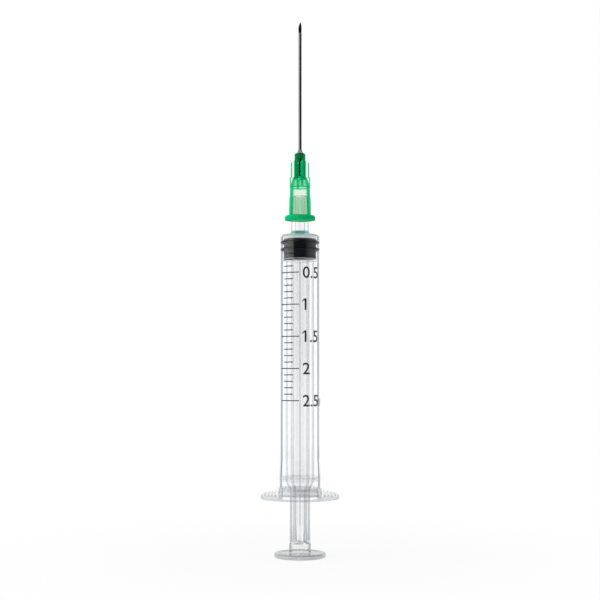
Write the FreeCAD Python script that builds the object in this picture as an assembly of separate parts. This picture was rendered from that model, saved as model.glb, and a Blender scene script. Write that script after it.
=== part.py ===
import FreeCAD, Part
import math
import os

# A 2.5 ml hypodermic syringe with its needle fitted, standing on its thumb disc.
# Millimetres and degrees. Z runs up the common axis from the underside of the thumb disc.
# X runs along the wings of the finger flange, and -Y is the side that carries the scale.

# Rod: thumb disc
DISC_R = 6.35
DISC_THICKNESS = 1.15
DISC_EDGE = 0.35
DISC_RIM_WIDTH = 1.0
DISC_DISH = 0.15

# Rod: four ribs that step in below the barrel and thicken towards the disc
RIB_COUNT = 4
RIB_ANGLE = 31.0
RIB_THICKNESS = 0.85
RIB_ROOT_FILLET = 0.2
RIB_STEP = 1.25
RIB_STEP_START = 16.45
RIB_STEP_HEIGHT = 2.2
RIB_STEP_ROUNDING = 1.5
RIB_FOOT_THICKNESS = 1.35
RIB_FOOT_TOP = 8.2
BOSS_TOP = 3.35
BOSS_RISE = 0.6
BOSS_EDGE = 0.1

# Rod: head plate and the snap head inside the rubber
PLATE_UNDERSIDE = 73.5
PLATE_THICKNESS = 0.62
PLATE_EDGE = 0.12
NECK_R = 1.55
NECK_HEIGHT = 0.95
SNAP_OVERHANG = 0.75
SNAP_HEIGHT = 1.9
SNAP_TAPER = 0.8
SNAP_EDGE = 0.2

# Stopper: rubber with two sealing rings
STOPPER_HEIGHT = 4.8
STOPPER_EDGE = 0.15
TOP_RING_DROP = 0.7
LOW_RING_DROP = 2.5
RING_LAND = 0.45
RING_FOOT = 0.4
RING_EDGE = 0.12
SKIRT_HEIGHT = 1.0
SKIRT_FLARE = 0.07

# Barrel: tube and shoulder
BORE_R = 4.5
WALL = 0.47
BARREL_LENGTH = 66.0
END_WALL = 1.25
BORE_END_FILLET = 0.3
SHOULDER_FALL = 0.4
SHOULDER_LAND_R = 3.3
SHOULDER_LAND_EDGE = 1.0
SHOULDER_EDGE = 0.6
BODY_FLARE = 0.2
BODY_FLARE_START = 5.6
BODY_FLARE_HEIGHT = 4.2
BODY_FLARE_BLEND = 12.0
COLLAR_RISE = 0.15
COLLAR_DRAFT = 0.13
COLLAR_HEIGHT = 1.5
COLLAR_EDGE = 0.12
LEAD_IN_RISE = 0.4
LEAD_IN_HEIGHT = 2.2
BEAD_UNDERSIDE = 4.3
BEAD_HEIGHT = 1.1
BEAD_RISE = 0.2
BEAD_ROUNDING = 0.5

# Barrel: finger flange, a disc cut off flat at both wings, ridged on its upper face
FLANGE_R = 10.0
FLANGE_HALF_SPAN = 9.6
FLANGE_THICKNESS = 1.1
FLANGE_EDGE = 0.25
RIDGE_COUNT = 4
RIDGE_PITCH = 0.85
RIDGE_R = 0.32
RIDGE_MARGIN = 0.95

# Barrel: nozzle, the standard 6 percent cone
CONE_TAPER = 0.06
NOZZLE_TIP_R = 1.975
NOZZLE_LENGTH = 9.55
NOZZLE_BORE_R = 1.2
NOZZLE_TIP_EDGE = 0.2
NOZZLE_ROOT_FILLET = 0.9

# Hub: flange, socket body, ogive and nose
ENGAGEMENT = 6.05
HUB_LENGTH = 16.9
HUB_FLANGE_R = 3.85
HUB_FLANGE_THICKNESS = 1.1
HUB_FLANGE_EDGE = 0.45
HUB_FLANGE_FILLET = 0.3
HUB_WALL = 0.47
HUB_DRAFT = 0.18
OGIVE_CORNER = 9.7
OGIVE_ROUNDING = 3.9
NOSE_START = 10.9
NOSE_R = 1.36
NOSE_EDGE = 0.3
SOCKET_DEPTH = 8.3
CAVITY_STEP = 0.08
DOME_CORNER = 9.3
DOME_ROUNDING = 1.8
DOME_TOP = 10.3
DOME_TOP_R = 0.5
NEEDLE_SEAT = 11.2
GLUE_WELL_R = 0.8
GLUE_WELL_DEPTH = 1.2

# Hub: four fins, each a low foot, a middle step and a tall blade beside the nose
FIN_COUNT = 4
FIN_ANGLE = 12.0
FIN_THICKNESS = 0.65
FIN_FOOT_RISE = 0.14
FIN_FOOT_TOP = 5.8
FIN_MID_START = 8.1
FIN_MID_RISE = 0.09
FIN_MID_TOP = 10.85
FIN_BLADE_RISE = 0.94
FIN_TOP = 15.05
FIN_TOP_ROUNDING = 0.5
FIN_EDGE = 0.08
FIN_SLOPE = 0.12

# Cannula: 0.8 mm steel tube with a three-face ground point
CANNULA_R = 0.4
CANNULA_BORE_R = 0.255
CANNULA_FREE_LENGTH = 33.9
BEVEL_ANGLE = 13.2
LANCET_ANGLE = 19.0
LANCET_TURN = 38.0
BEVEL_FACING = 260.0

# Adhesive: cone on the nose, with its plug in the nose's well
GLUE_BASE_R = 1.05
GLUE_HEIGHT = 1.1
GLUE_LIP = 0.04
GLUE_WAIST_R = 0.62
GLUE_WAIST_RISE = 0.42
GLUE_WAIST_ROUNDING = 0.6

# Clearances between pieces
RIB_CLEARANCE = 0.6
PLATE_CLEARANCE = 0.3
RING_CLEARANCE = 0.04
STOPPER_BODY_CLEARANCE = 0.44
SEAT_CLEARANCE = 0.05
SNAP_CLEARANCE = 0.06
END_CLEARANCE = 0.2
CONE_CLEARANCE = 0.02
CANNULA_CLEARANCE = 0.03
GLUE_CLEARANCE = 0.01

# Heights along the axis
PLATE_TOP = PLATE_UNDERSIDE + PLATE_THICKNESS
NECK_TOP = PLATE_TOP + NECK_HEIGHT
SNAP_TOP = NECK_TOP + SNAP_HEIGHT
STOPPER_BOTTOM = PLATE_TOP + SEAT_CLEARANCE
STOPPER_TOP = STOPPER_BOTTOM + STOPPER_HEIGHT
BORE_END = STOPPER_TOP + END_CLEARANCE
SHOULDER_Z = BORE_END + END_WALL
BARREL_BOTTOM = SHOULDER_Z - BARREL_LENGTH
FLANGE_TOP = BARREL_BOTTOM + FLANGE_THICKNESS
NOZZLE_TIP = SHOULDER_Z + NOZZLE_LENGTH
HUB_MOUTH = NOZZLE_TIP - ENGAGEMENT
HUB_TOP = HUB_MOUTH + HUB_LENGTH
NEEDLE_SEAT_Z = HUB_MOUTH + NEEDLE_SEAT
GLUE_WELL_Z = HUB_TOP - GLUE_WELL_DEPTH
CANNULA_BOTTOM = NEEDLE_SEAT_Z + CANNULA_CLEARANCE
CANNULA_TIP = HUB_TOP + CANNULA_FREE_LENGTH

# Radii that fit one piece to the next
RIB_R = BORE_R - RIB_CLEARANCE
LOWER_RIB_R = RIB_R - RIB_STEP
PLATE_R = BORE_R - PLATE_CLEARANCE
SNAP_R = NECK_R + SNAP_OVERHANG
RING_R = BORE_R - RING_CLEARANCE
STOPPER_R = BORE_R - STOPPER_BODY_CLEARANCE
BARREL_R = BORE_R + WALL
FLARED_R = BARREL_R + BODY_FLARE
CONE_SLOPE = CONE_TAPER / 2
NOZZLE_ROOT_R = NOZZLE_TIP_R + CONE_SLOPE * NOZZLE_LENGTH
SOCKET_MOUTH_R = NOZZLE_TIP_R + CONE_SLOPE * ENGAGEMENT + CONE_CLEARANCE
SOCKET_END_R = SOCKET_MOUTH_R - CONE_SLOPE * SOCKET_DEPTH
HUB_BODY_R = SOCKET_MOUTH_R + HUB_WALL
HUB_BODY_TOP_R = HUB_BODY_R - HUB_DRAFT
NEEDLE_HOLE_R = CANNULA_R + CANNULA_CLEARANCE

ORIGIN = FreeCAD.Vector(0, 0, 0)
AXIS = FreeCAD.Vector(0, 0, 1)
FULL_TURN = 360
OVERSHOOT = 1.0
SAME_POINT = 1e-6


def corner_arc(before, corner, after, rounding):
    """Both tangent points of a corner and the arc between them, or None at a sharp corner."""
    if rounding == 0:
        return corner, corner, None
    back = (before - corner).normalize()
    ahead = (after - corner).normalize()
    half_angle = back.getAngle(ahead) / 2
    setback = rounding / math.tan(half_angle)
    inward = (back + ahead).normalize()
    start = corner + back * setback
    end = corner + ahead * setback
    middle = corner + inward * (rounding / math.sin(half_angle) - rounding)
    return start, end, Part.Arc(start, middle, end).toShape()


def rounded_wire(corners):
    """Closed wire through corners (point, rounding), each rounded by its own tangent arc."""
    points = [point for point, rounding in corners]
    count = len(points)
    turns = []
    for index, (point, rounding) in enumerate(corners):
        turns.append(corner_arc(points[index - 1], point, points[(index + 1) % count], rounding))
    path = []
    for index, (start, end, arc) in enumerate(turns):
        following = turns[(index + 1) % count][0]
        if arc is not None:
            path.append(arc)
        if end.distanceToPoint(following) > SAME_POINT:
            path.append(Part.makeLine(end, following))
    return Part.Wire(path)


def profile_face(profile):
    """Face in the XZ plane from corners (radius, height, rounding)."""
    corners = [(FreeCAD.Vector(radius, 0, height), rounding)
               for radius, height, rounding in profile]
    return Part.Face(rounded_wire(corners))


def lathe(profile):
    """Solid turned about the Z axis from corners (radius, height, rounding)."""
    return profile_face(profile).revolve(ORIGIN, AXIS, FULL_TURN)


def turned_about_axis(shape, angle):
    """Copy of a shape turned about the Z axis."""
    copy = shape.copy()
    copy.rotate(ORIGIN, AXIS, angle)
    return copy


def ring_of(shape, count, first_angle):
    """Copies of a shape spaced evenly about the Z axis."""
    return [turned_about_axis(shape, first_angle + index * FULL_TURN / count)
            for index in range(count)]


def cross_outline(thickness, height):
    """Outline of the four ribs at one height, rounded where they meet."""
    half = thickness / 2
    reach = RIB_R + OVERSHOOT
    quarter = ((reach, -half, 0), (reach, half, 0), (half, half, RIB_ROOT_FILLET))
    corners = []
    for index in range(RIB_COUNT):
        turn = FreeCAD.Rotation(AXIS, RIB_ANGLE + index * FULL_TURN / RIB_COUNT)
        for x, y, rounding in quarter:
            corners.append((turn.multVec(FreeCAD.Vector(x, y, height)), rounding))
    return rounded_wire(corners)


def rod_ribs():
    """Four ribs: an extruded cross on a thickened foot, trimmed to the turned envelope."""
    root = DISC_THICKNESS / 2
    foot = Part.makeLoft([cross_outline(RIB_FOOT_THICKNESS, root),
                          cross_outline(RIB_THICKNESS, RIB_FOOT_TOP)], True, True)
    upper_cross = Part.Face(cross_outline(RIB_THICKNESS, RIB_FOOT_TOP))
    upper = upper_cross.extrude(AXIS * (PLATE_UNDERSIDE - RIB_FOOT_TOP))
    envelope = lathe([
        (0, root, 0),
        (LOWER_RIB_R, root, 0),
        (LOWER_RIB_R, RIB_STEP_START, RIB_STEP_ROUNDING),
        (RIB_R, RIB_STEP_START + RIB_STEP_HEIGHT, RIB_STEP_ROUNDING),
        (RIB_R, PLATE_UNDERSIDE, 0),
        (0, PLATE_UNDERSIDE, 0)])
    return foot.fuse(upper).common(envelope)


def thumb_disc():
    """Thumb disc with a raised rim, and the boss that joins the ribs to it."""
    floor = DISC_THICKNESS - DISC_DISH
    dish_r = DISC_R - DISC_RIM_WIDTH
    disc = lathe([
        (0, 0, 0),
        (DISC_R, 0, DISC_EDGE),
        (DISC_R, DISC_THICKNESS, DISC_EDGE),
        (dish_r, DISC_THICKNESS, 0),
        (dish_r - DISC_DISH, floor, 0),
        (0, floor, 0)])
    boss = lathe([
        (0, floor / 2, 0),
        (LOWER_RIB_R, floor / 2, 0),
        (LOWER_RIB_R, BOSS_TOP, BOSS_EDGE),
        (0, BOSS_TOP + BOSS_RISE, 0)])
    return disc.fuse(boss)


def rod_head():
    """Head plate that backs the rubber, with the neck and snap head that hold it."""
    return lathe([
        (0, PLATE_UNDERSIDE, 0),
        (PLATE_R, PLATE_UNDERSIDE, PLATE_EDGE),
        (PLATE_R, PLATE_TOP, PLATE_EDGE),
        (NECK_R, PLATE_TOP, 0),
        (NECK_R, NECK_TOP, 0),
        (SNAP_R, NECK_TOP, SNAP_EDGE),
        (SNAP_R - SNAP_TAPER, SNAP_TOP, SNAP_EDGE),
        (0, SNAP_TOP, 0)])


def plunger_rod():
    """Clear rod, moulded as one from thumb disc to snap head."""
    return thumb_disc().fuse([rod_ribs(), rod_head()]).removeSplitter()


def sealing_ring(centre):
    """Corners of one sealing ring, from its lower foot to its upper one."""
    land = RING_LAND / 2
    return [
        (STOPPER_R, centre - land - RING_FOOT, RING_EDGE),
        (RING_R, centre - land, RING_EDGE),
        (RING_R, centre + land, RING_EDGE),
        (STOPPER_R, centre + land + RING_FOOT, RING_EDGE)]


def stopper():
    """Rubber stopper: two rings and a skirt, hollowed to fit the snap head."""
    top_ring = sealing_ring(STOPPER_TOP - TOP_RING_DROP)
    low_ring = sealing_ring(STOPPER_TOP - LOW_RING_DROP)
    top_ring[-1] = (STOPPER_R, STOPPER_TOP, STOPPER_EDGE)
    body = lathe([
        (0, STOPPER_BOTTOM, 0),
        (STOPPER_R + SKIRT_FLARE, STOPPER_BOTTOM, 0),
        (STOPPER_R, STOPPER_BOTTOM + SKIRT_HEIGHT, 0),
        *low_ring,
        *top_ring,
        (0, STOPPER_TOP, 0)])
    cavity = lathe([
        (0, STOPPER_BOTTOM - OVERSHOOT, 0),
        (NECK_R + SNAP_CLEARANCE, STOPPER_BOTTOM - OVERSHOOT, 0),
        (NECK_R + SNAP_CLEARANCE, NECK_TOP - SNAP_CLEARANCE, 0),
        (SNAP_R + SNAP_CLEARANCE, NECK_TOP - SNAP_CLEARANCE, SNAP_EDGE),
        (SNAP_R - SNAP_TAPER + SNAP_CLEARANCE, SNAP_TOP + SNAP_CLEARANCE, SNAP_EDGE),
        (0, SNAP_TOP + SNAP_CLEARANCE, 0)])
    return body.cut(cavity)


def barrel_outside():
    """Outer form of the tube: collar, flared foot, shoulder and nozzle cone."""
    collar_r = FLARED_R + COLLAR_RISE
    flare_start = BARREL_BOTTOM + BODY_FLARE_START
    return lathe([
        (0, BARREL_BOTTOM, 0),
        (collar_r + COLLAR_DRAFT, BARREL_BOTTOM, 0),
        (collar_r, FLANGE_TOP + COLLAR_HEIGHT, COLLAR_EDGE),
        (FLARED_R, FLANGE_TOP + COLLAR_HEIGHT, 0),
        (FLARED_R, flare_start, BODY_FLARE_BLEND),
        (BARREL_R, flare_start + BODY_FLARE_HEIGHT, BODY_FLARE_BLEND),
        (BARREL_R, SHOULDER_Z - SHOULDER_FALL, SHOULDER_EDGE),
        (SHOULDER_LAND_R, SHOULDER_Z, SHOULDER_LAND_EDGE),
        (NOZZLE_ROOT_R, SHOULDER_Z, NOZZLE_ROOT_FILLET),
        (NOZZLE_TIP_R, NOZZLE_TIP, NOZZLE_TIP_EDGE),
        (0, NOZZLE_TIP, 0)])


def barrel_inside():
    """Bore with its lead-in, the bead that keeps the rubber in, and the nozzle's channel."""
    bead_bottom = BARREL_BOTTOM + BEAD_UNDERSIDE
    below = BARREL_BOTTOM - OVERSHOOT
    above = NOZZLE_TIP + OVERSHOOT
    return lathe([
        (0, below, 0),
        (BORE_R + LEAD_IN_RISE, below, 0),
        (BORE_R + LEAD_IN_RISE, BARREL_BOTTOM, 0),
        (BORE_R, BARREL_BOTTOM + LEAD_IN_HEIGHT, BEAD_ROUNDING),
        (BORE_R, bead_bottom, BEAD_ROUNDING),
        (BORE_R - BEAD_RISE, bead_bottom + BEAD_HEIGHT / 2, BEAD_ROUNDING),
        (BORE_R, bead_bottom + BEAD_HEIGHT, BEAD_ROUNDING),
        (BORE_R, BORE_END, BORE_END_FILLET),
        (NOZZLE_BORE_R, BORE_END, 0),
        (NOZZLE_BORE_R, above, 0),
        (0, above, 0)])


def finger_flange():
    """Flat disc cut off at both wings, with every edge rounded."""
    disc = Part.makeCylinder(FLANGE_R, FLANGE_THICKNESS, FreeCAD.Vector(0, 0, BARREL_BOTTOM))
    corner = FreeCAD.Vector(-FLANGE_HALF_SPAN, -FLANGE_R, BARREL_BOTTOM)
    slab = Part.makeBox(2 * FLANGE_HALF_SPAN, 2 * FLANGE_R, FLANGE_THICKNESS, corner)
    plate = disc.common(slab)
    return plate.makeFillet(FLANGE_EDGE, plate.Edges)


def grip_ridges():
    """Half-round ridges across both wings, ending short of the flange's edge."""
    limit = Part.makeCylinder(FLANGE_R - RIDGE_MARGIN, 2 * RIDGE_R,
                              FreeCAD.Vector(0, 0, FLANGE_TOP - RIDGE_R))
    ridges = []
    for side in (-1, 1):
        for index in range(RIDGE_COUNT):
            x = side * (FLANGE_HALF_SPAN - RIDGE_MARGIN - index * RIDGE_PITCH)
            start = FreeCAD.Vector(x, -FLANGE_R, FLANGE_TOP)
            bar = Part.makeCylinder(RIDGE_R, 2 * FLANGE_R, start, FreeCAD.Vector(0, 1, 0))
            ridges.append(bar.common(limit))
    return ridges


def barrel():
    """Clear barrel, moulded as one from finger flange to nozzle."""
    outside = barrel_outside().fuse([finger_flange(), *grip_ridges()])
    return outside.cut(barrel_inside()).removeSplitter()


def hub_outside():
    """Outer form of the hub without its fins."""
    flange_top = HUB_MOUTH + HUB_FLANGE_THICKNESS
    return lathe([
        (0, HUB_MOUTH, 0),
        (HUB_FLANGE_R, HUB_MOUTH, FIN_EDGE),
        (HUB_FLANGE_R, flange_top, HUB_FLANGE_EDGE),
        (HUB_BODY_R, flange_top, HUB_FLANGE_FILLET),
        (HUB_BODY_TOP_R, HUB_MOUTH + OGIVE_CORNER, OGIVE_ROUNDING),
        (NOSE_R, HUB_MOUTH + NOSE_START, 0),
        (NOSE_R, HUB_TOP, NOSE_EDGE),
        (0, HUB_TOP, 0)])


def hub_inside():
    """Tapered socket, domed cavity, needle hole and the well that takes the adhesive."""
    socket_end = HUB_MOUTH + SOCKET_DEPTH
    cavity_r = SOCKET_END_R - CAVITY_STEP
    dome_top = HUB_MOUTH + DOME_TOP
    below = HUB_MOUTH - OVERSHOOT
    above = HUB_TOP + OVERSHOOT
    return lathe([
        (0, below, 0),
        (SOCKET_MOUTH_R, below, 0),
        (SOCKET_MOUTH_R, HUB_MOUTH, 0),
        (SOCKET_END_R, socket_end, 0),
        (cavity_r, socket_end, 0),
        (cavity_r, HUB_MOUTH + DOME_CORNER, DOME_ROUNDING),
        (DOME_TOP_R, dome_top, 0),
        (CANNULA_BORE_R, dome_top, 0),
        (CANNULA_BORE_R, NEEDLE_SEAT_Z, 0),
        (NEEDLE_HOLE_R, NEEDLE_SEAT_Z, 0),
        (NEEDLE_HOLE_R, GLUE_WELL_Z, 0),
        (GLUE_WELL_R, GLUE_WELL_Z, 0),
        (GLUE_WELL_R, above, 0),
        (0, above, 0)])


def hub_fin():
    """One fin in the XZ plane: foot on the body, step on the ogive, blade beside the nose."""
    foot_r = HUB_BODY_R + FIN_FOOT_RISE
    foot_top_r = foot_r - HUB_DRAFT * FIN_FOOT_TOP / OGIVE_CORNER
    hidden_r = HUB_BODY_TOP_R
    mid_r = HUB_BODY_TOP_R + FIN_MID_RISE
    blade_r = NOSE_R + FIN_BLADE_RISE
    root_r = NOSE_R / 2
    foot_bottom = HUB_MOUTH + HUB_FLANGE_THICKNESS / 2
    outline = profile_face([
        (root_r, foot_bottom, 0),
        (foot_r, foot_bottom, 0),
        (foot_top_r, HUB_MOUTH + FIN_FOOT_TOP, FIN_EDGE),
        (hidden_r, HUB_MOUTH + FIN_FOOT_TOP + FIN_SLOPE, 0),
        (hidden_r, HUB_MOUTH + FIN_MID_START, 0),
        (mid_r, HUB_MOUTH + FIN_MID_START + FIN_SLOPE, FIN_EDGE),
        (mid_r, HUB_MOUTH + FIN_MID_TOP, FIN_EDGE),
        (blade_r, HUB_MOUTH + FIN_MID_TOP + FIN_SLOPE, 0),
        (blade_r, HUB_MOUTH + FIN_TOP, FIN_TOP_ROUNDING),
        (root_r, HUB_MOUTH + FIN_TOP, 0)])
    blade = outline.extrude(FreeCAD.Vector(0, FIN_THICKNESS, 0))
    blade.translate(FreeCAD.Vector(0, -FIN_THICKNESS / 2, 0))
    return blade


def needle_hub():
    """Coloured hub, moulded as one with its four fins."""
    fins = ring_of(hub_fin(), FIN_COUNT, FIN_ANGLE)
    return hub_outside().fuse(fins).cut(hub_inside()).removeSplitter()


def grinding_block(point, facing, angle):
    """Block whose flat face passes through a point, tilted off the axis by the given angle."""
    tilt = math.radians(angle)
    side = FreeCAD.Vector(math.cos(math.radians(facing)), math.sin(math.radians(facing)), 0)
    normal = side * math.cos(tilt) + AXIS * math.sin(tilt)
    size = CANNULA_FREE_LENGTH
    block = Part.makeBox(size, size, size, FreeCAD.Vector(-size / 2, -size / 2, 0))
    block.Placement = FreeCAD.Placement(point, FreeCAD.Rotation(AXIS, normal)).multiply(
        block.Placement)
    return block


def cannula():
    """Steel tube, ground to a long bevel with two lancet faces at its point."""
    length = CANNULA_TIP - CANNULA_BOTTOM
    start = FreeCAD.Vector(0, 0, CANNULA_BOTTOM)
    tube = Part.makeCylinder(CANNULA_R, length, start)
    channel = Part.makeCylinder(CANNULA_BORE_R, length, start)
    facing = math.radians(BEVEL_FACING)
    tip = FreeCAD.Vector(-CANNULA_R * math.cos(facing), -CANNULA_R * math.sin(facing), CANNULA_TIP)
    faces = [grinding_block(tip, BEVEL_FACING, BEVEL_ANGLE)]
    for turn in (-LANCET_TURN, LANCET_TURN):
        faces.append(grinding_block(tip, BEVEL_FACING + turn, LANCET_ANGLE))
    return tube.cut([channel, *faces])


def adhesive():
    """Cured adhesive: a plug in the well and a cone that runs up the cannula."""
    inner_r = CANNULA_R + GLUE_CLEARANCE
    plug_r = GLUE_WELL_R - GLUE_CLEARANCE
    face_z = HUB_TOP + GLUE_CLEARANCE
    return lathe([
        (inner_r, GLUE_WELL_Z + GLUE_CLEARANCE, 0),
        (plug_r, GLUE_WELL_Z + GLUE_CLEARANCE, 0),
        (plug_r, face_z, 0),
        (GLUE_BASE_R, face_z, 0),
        (GLUE_WAIST_R, HUB_TOP + GLUE_WAIST_RISE, GLUE_WAIST_ROUNDING),
        (inner_r + GLUE_LIP, HUB_TOP + GLUE_HEIGHT, 0),
        (inner_r, HUB_TOP + GLUE_HEIGHT, 0)])


def main():
    """Write one STEP file for each piece."""
    os.makedirs("parts", exist_ok=True)
    pieces = {
        "plunger_rod": plunger_rod(),
        "stopper": stopper(),
        "barrel": barrel(),
        "needle_hub": needle_hub(),
        "cannula": cannula(),
        "adhesive": adhesive(),
    }
    for name, shape in pieces.items():
        shape.exportStep(os.path.join("parts", name + ".step"))
        print(name, "solids", len(shape.Solids), "valid", shape.isValid(),
              "volume", round(shape.Volume, 3))


if __name__ == "__main__":
    main()
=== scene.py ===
"""Looks of a 2.5 ml syringe with its needle fitted, standing on its thumb disc.

Sizes are millimetres and degrees until a mesh is finished, and metres in the scene. Heights come
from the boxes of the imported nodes, and each part takes the place of one node.
"""

import logging
import math
from dataclasses import dataclass
from enum import Enum
from typing import Any, Callable, Dict, List, Optional, Sequence, Tuple

import bmesh
import bpy
from mathutils import Matrix, Vector


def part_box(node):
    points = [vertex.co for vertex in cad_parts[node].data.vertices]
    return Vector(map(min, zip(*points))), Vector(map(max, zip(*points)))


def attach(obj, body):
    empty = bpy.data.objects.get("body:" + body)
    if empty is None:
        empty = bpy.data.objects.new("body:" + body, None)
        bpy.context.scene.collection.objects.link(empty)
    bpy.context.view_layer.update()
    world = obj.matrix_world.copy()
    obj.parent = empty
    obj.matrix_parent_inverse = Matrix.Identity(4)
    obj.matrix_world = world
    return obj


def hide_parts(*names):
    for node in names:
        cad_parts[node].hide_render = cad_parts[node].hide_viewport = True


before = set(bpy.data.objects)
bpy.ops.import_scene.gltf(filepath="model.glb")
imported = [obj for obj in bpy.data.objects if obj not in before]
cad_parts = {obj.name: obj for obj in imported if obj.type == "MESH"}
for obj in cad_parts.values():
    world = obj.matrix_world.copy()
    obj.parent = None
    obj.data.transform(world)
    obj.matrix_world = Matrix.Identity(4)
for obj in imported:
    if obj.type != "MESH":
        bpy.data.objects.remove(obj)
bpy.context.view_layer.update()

MM = 0.001
FULL_TURN = 2 * math.pi
DEGREES_IN_TURN = 360
UPRIGHT = Matrix.Rotation(math.pi / 2, 4, "X")
HALF_DIAGONAL = math.sqrt(0.5)
TURN_STEPS = 96
ARC_STEPS = 5
FINE_ARC_STEPS = 8
ROUND_PROFILE = 0.5
CREASE = math.radians(35.0)
BAND_FADE = 0.1
SAME_POINT = 1e-4
OVERSHOOT = 1.0
AXIS = Vector((0, 0, 1))

Colour = Tuple[float, float, float, float]
Pair = Tuple[float, float]
Mesh = bmesh.types.BMesh
Piece = bpy.types.Object

log = logging.getLogger("syringe")


class Cut(Enum):
    """How one solid changes another."""

    ADD = "UNION"
    REMOVE = "DIFFERENCE"


class Body(Enum):
    """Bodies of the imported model."""

    ROD = "rod"
    STOPPER = "stopper"
    BARREL = "barrel"
    NEEDLE = "needle"


@dataclass(frozen=True)
class Corner:
    """A corner of a profile in the XZ plane.

    Args:
        radius: Distance from the axis.
        height: Height above the floor.
        rounding: Radius of the arc that rounds the corner, or 0 for a sharp one.
    """

    radius: float
    height: float
    rounding: float = 0.0

    def point(self) -> Vector:
        """Returns the corner in the XZ plane."""
        return Vector((self.radius, 0, self.height))

    def turns_through(self, spot: Vector) -> bool:
        """Returns whether a spot lies on the circle of the turned corner."""
        return (abs(spot.z - self.height) < SAME_POINT
                and abs(spot.xy.length - self.radius) < SAME_POINT)

    def stands_behind(self, spot: Vector) -> bool:
        """Returns whether a spot lies on the corner's line across a slab."""
        return (Vector((spot.x, 0, spot.z)) - self.point()).length < SAME_POINT


def outwards(mesh: Mesh) -> Mesh:
    """Turns the faces outwards and returns the mesh."""
    bmesh.ops.recalc_face_normals(mesh, faces=mesh.faces[:])
    return mesh


def bevel(mesh: Mesh, edges: Sequence[bmesh.types.BMEdge], offset: float, steps: int) -> None:
    """Rounds edges with arcs that start at an offset from them."""
    bmesh.ops.bevel(mesh, geom=edges, offset=offset, offset_type="OFFSET", segments=steps,
                    profile=ROUND_PROFILE, affect="EDGES", material=-1, clamp_overlap=True)


def round_corners(mesh: Mesh, profile: Sequence[Corner], steps: int,
                  touches: Callable[[Corner, Vector], bool]) -> Mesh:
    """Rounds the edges that the corners of a profile have made.

    Args:
        mesh: The solid.
        profile: Its corners in order.
        steps: Faces across each rounded corner.
        touches: Tells whether a spot belongs to a corner.

    Returns:
        The same mesh, with its faces outwards.
    """
    for index, corner in enumerate(profile):
        if corner.rounding:
            edges = [edge for edge in mesh.edges
                     if all(touches(corner, vert.co) for vert in edge.verts)]
            before = profile[index - 1].point() - corner.point()
            after = profile[(index + 1) % len(profile)].point() - corner.point()
            bevel(mesh, edges, corner.rounding / math.tan(before.angle(after) / 2), steps)
    return outwards(mesh)


def turned(profile: Sequence[Corner], steps: int = ARC_STEPS) -> Mesh:
    """Turns a closed profile about the axis, then rounds its corners.

    Args:
        profile: Corners in order. Two neighbours on the axis have no edge between them.
        steps: Faces across each rounded corner.

    Returns:
        A closed mesh.
    """
    mesh = bmesh.new()
    points = [mesh.verts.new(corner.point()) for corner in profile]
    for start, end in zip(points, points[1:] + points[:1]):
        if start.co.x > 0 or end.co.x > 0:
            mesh.edges.new((start, end))
    bmesh.ops.spin(mesh, geom=mesh.verts[:] + mesh.edges[:], axis=AXIS, cent=(0, 0, 0),
                   angle=FULL_TURN, steps=TURN_STEPS, use_merge=True)
    bmesh.ops.remove_doubles(mesh, verts=mesh.verts[:], dist=SAME_POINT)
    return round_corners(mesh, profile, steps, Corner.turns_through)


def slab(outline: Sequence[Corner], thickness: float, turn: float, steps: int) -> Mesh:
    """Makes an upright slab that stands on the axis.

    Args:
        outline: Corners in order.
        thickness: Thickness across the outline.
        turn: Angle of the slab about the axis.
        steps: Faces across each rounded corner.

    Returns:
        A closed mesh.
    """
    mesh = bmesh.new()
    face = mesh.faces.new([mesh.verts.new(corner.point()) for corner in outline])
    for vert in mesh.verts:
        vert.co.y -= thickness / 2
    grown = bmesh.ops.extrude_face_region(mesh, geom=[face])["geom"]
    side = [item for item in grown if isinstance(item, bmesh.types.BMVert)]
    bmesh.ops.translate(mesh, verts=side, vec=(0, thickness, 0))
    round_corners(mesh, outline, steps, Corner.stands_behind)
    bmesh.ops.rotate(mesh, verts=mesh.verts[:], cent=(0, 0, 0),
                     matrix=Matrix.Rotation(math.radians(turn), 3, "Z"))
    return outwards(mesh)


def cylinder(radius: float, length: float, lie: Matrix, steps: int = TURN_STEPS) -> Mesh:
    """Returns a cylinder that is centred on the origin and then moved."""
    mesh = bmesh.new()
    bmesh.ops.create_cone(mesh, cap_ends=True, segments=steps, radius1=radius, radius2=radius,
                          depth=length, matrix=lie)
    return mesh


def shown(name: str, mesh: Mesh) -> Piece:
    """Turns a mesh in millimetres into an object in metres and frees it."""
    bmesh.ops.scale(mesh, verts=mesh.verts[:], vec=(MM, MM, MM))
    data = bpy.data.meshes.new(name)
    mesh.to_mesh(data)
    mesh.free()
    piece = bpy.data.objects.new(name, data)
    bpy.context.scene.collection.objects.link(piece)
    return piece


def combined(name: str, base: Mesh, *steps: Tuple[Cut, Mesh]) -> Piece:
    """Builds one solid from several.

    Args:
        name: Name of the finished piece.
        base: The solid to start from.
        steps: What to do next, and with which solid.

    Returns:
        The piece, with every step worked into its mesh.
    """
    piece = shown(name, base)
    tools = []
    for cut, mesh in steps:
        tool = shown(name + "_tool", mesh)
        change = piece.modifiers.new(cut.name, "BOOLEAN")
        change.solver = "EXACT"
        change.operation = cut.value
        change.object = tool
        tools.append(tool)
    bpy.context.view_layer.update()
    worked = piece.evaluated_get(bpy.context.evaluated_depsgraph_get())
    data = bpy.data.meshes.new_from_object(worked)
    piece.modifiers.clear()
    piece.data = data
    data.name = name
    for tool in tools:
        bpy.data.objects.remove(tool)
    return piece


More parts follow.
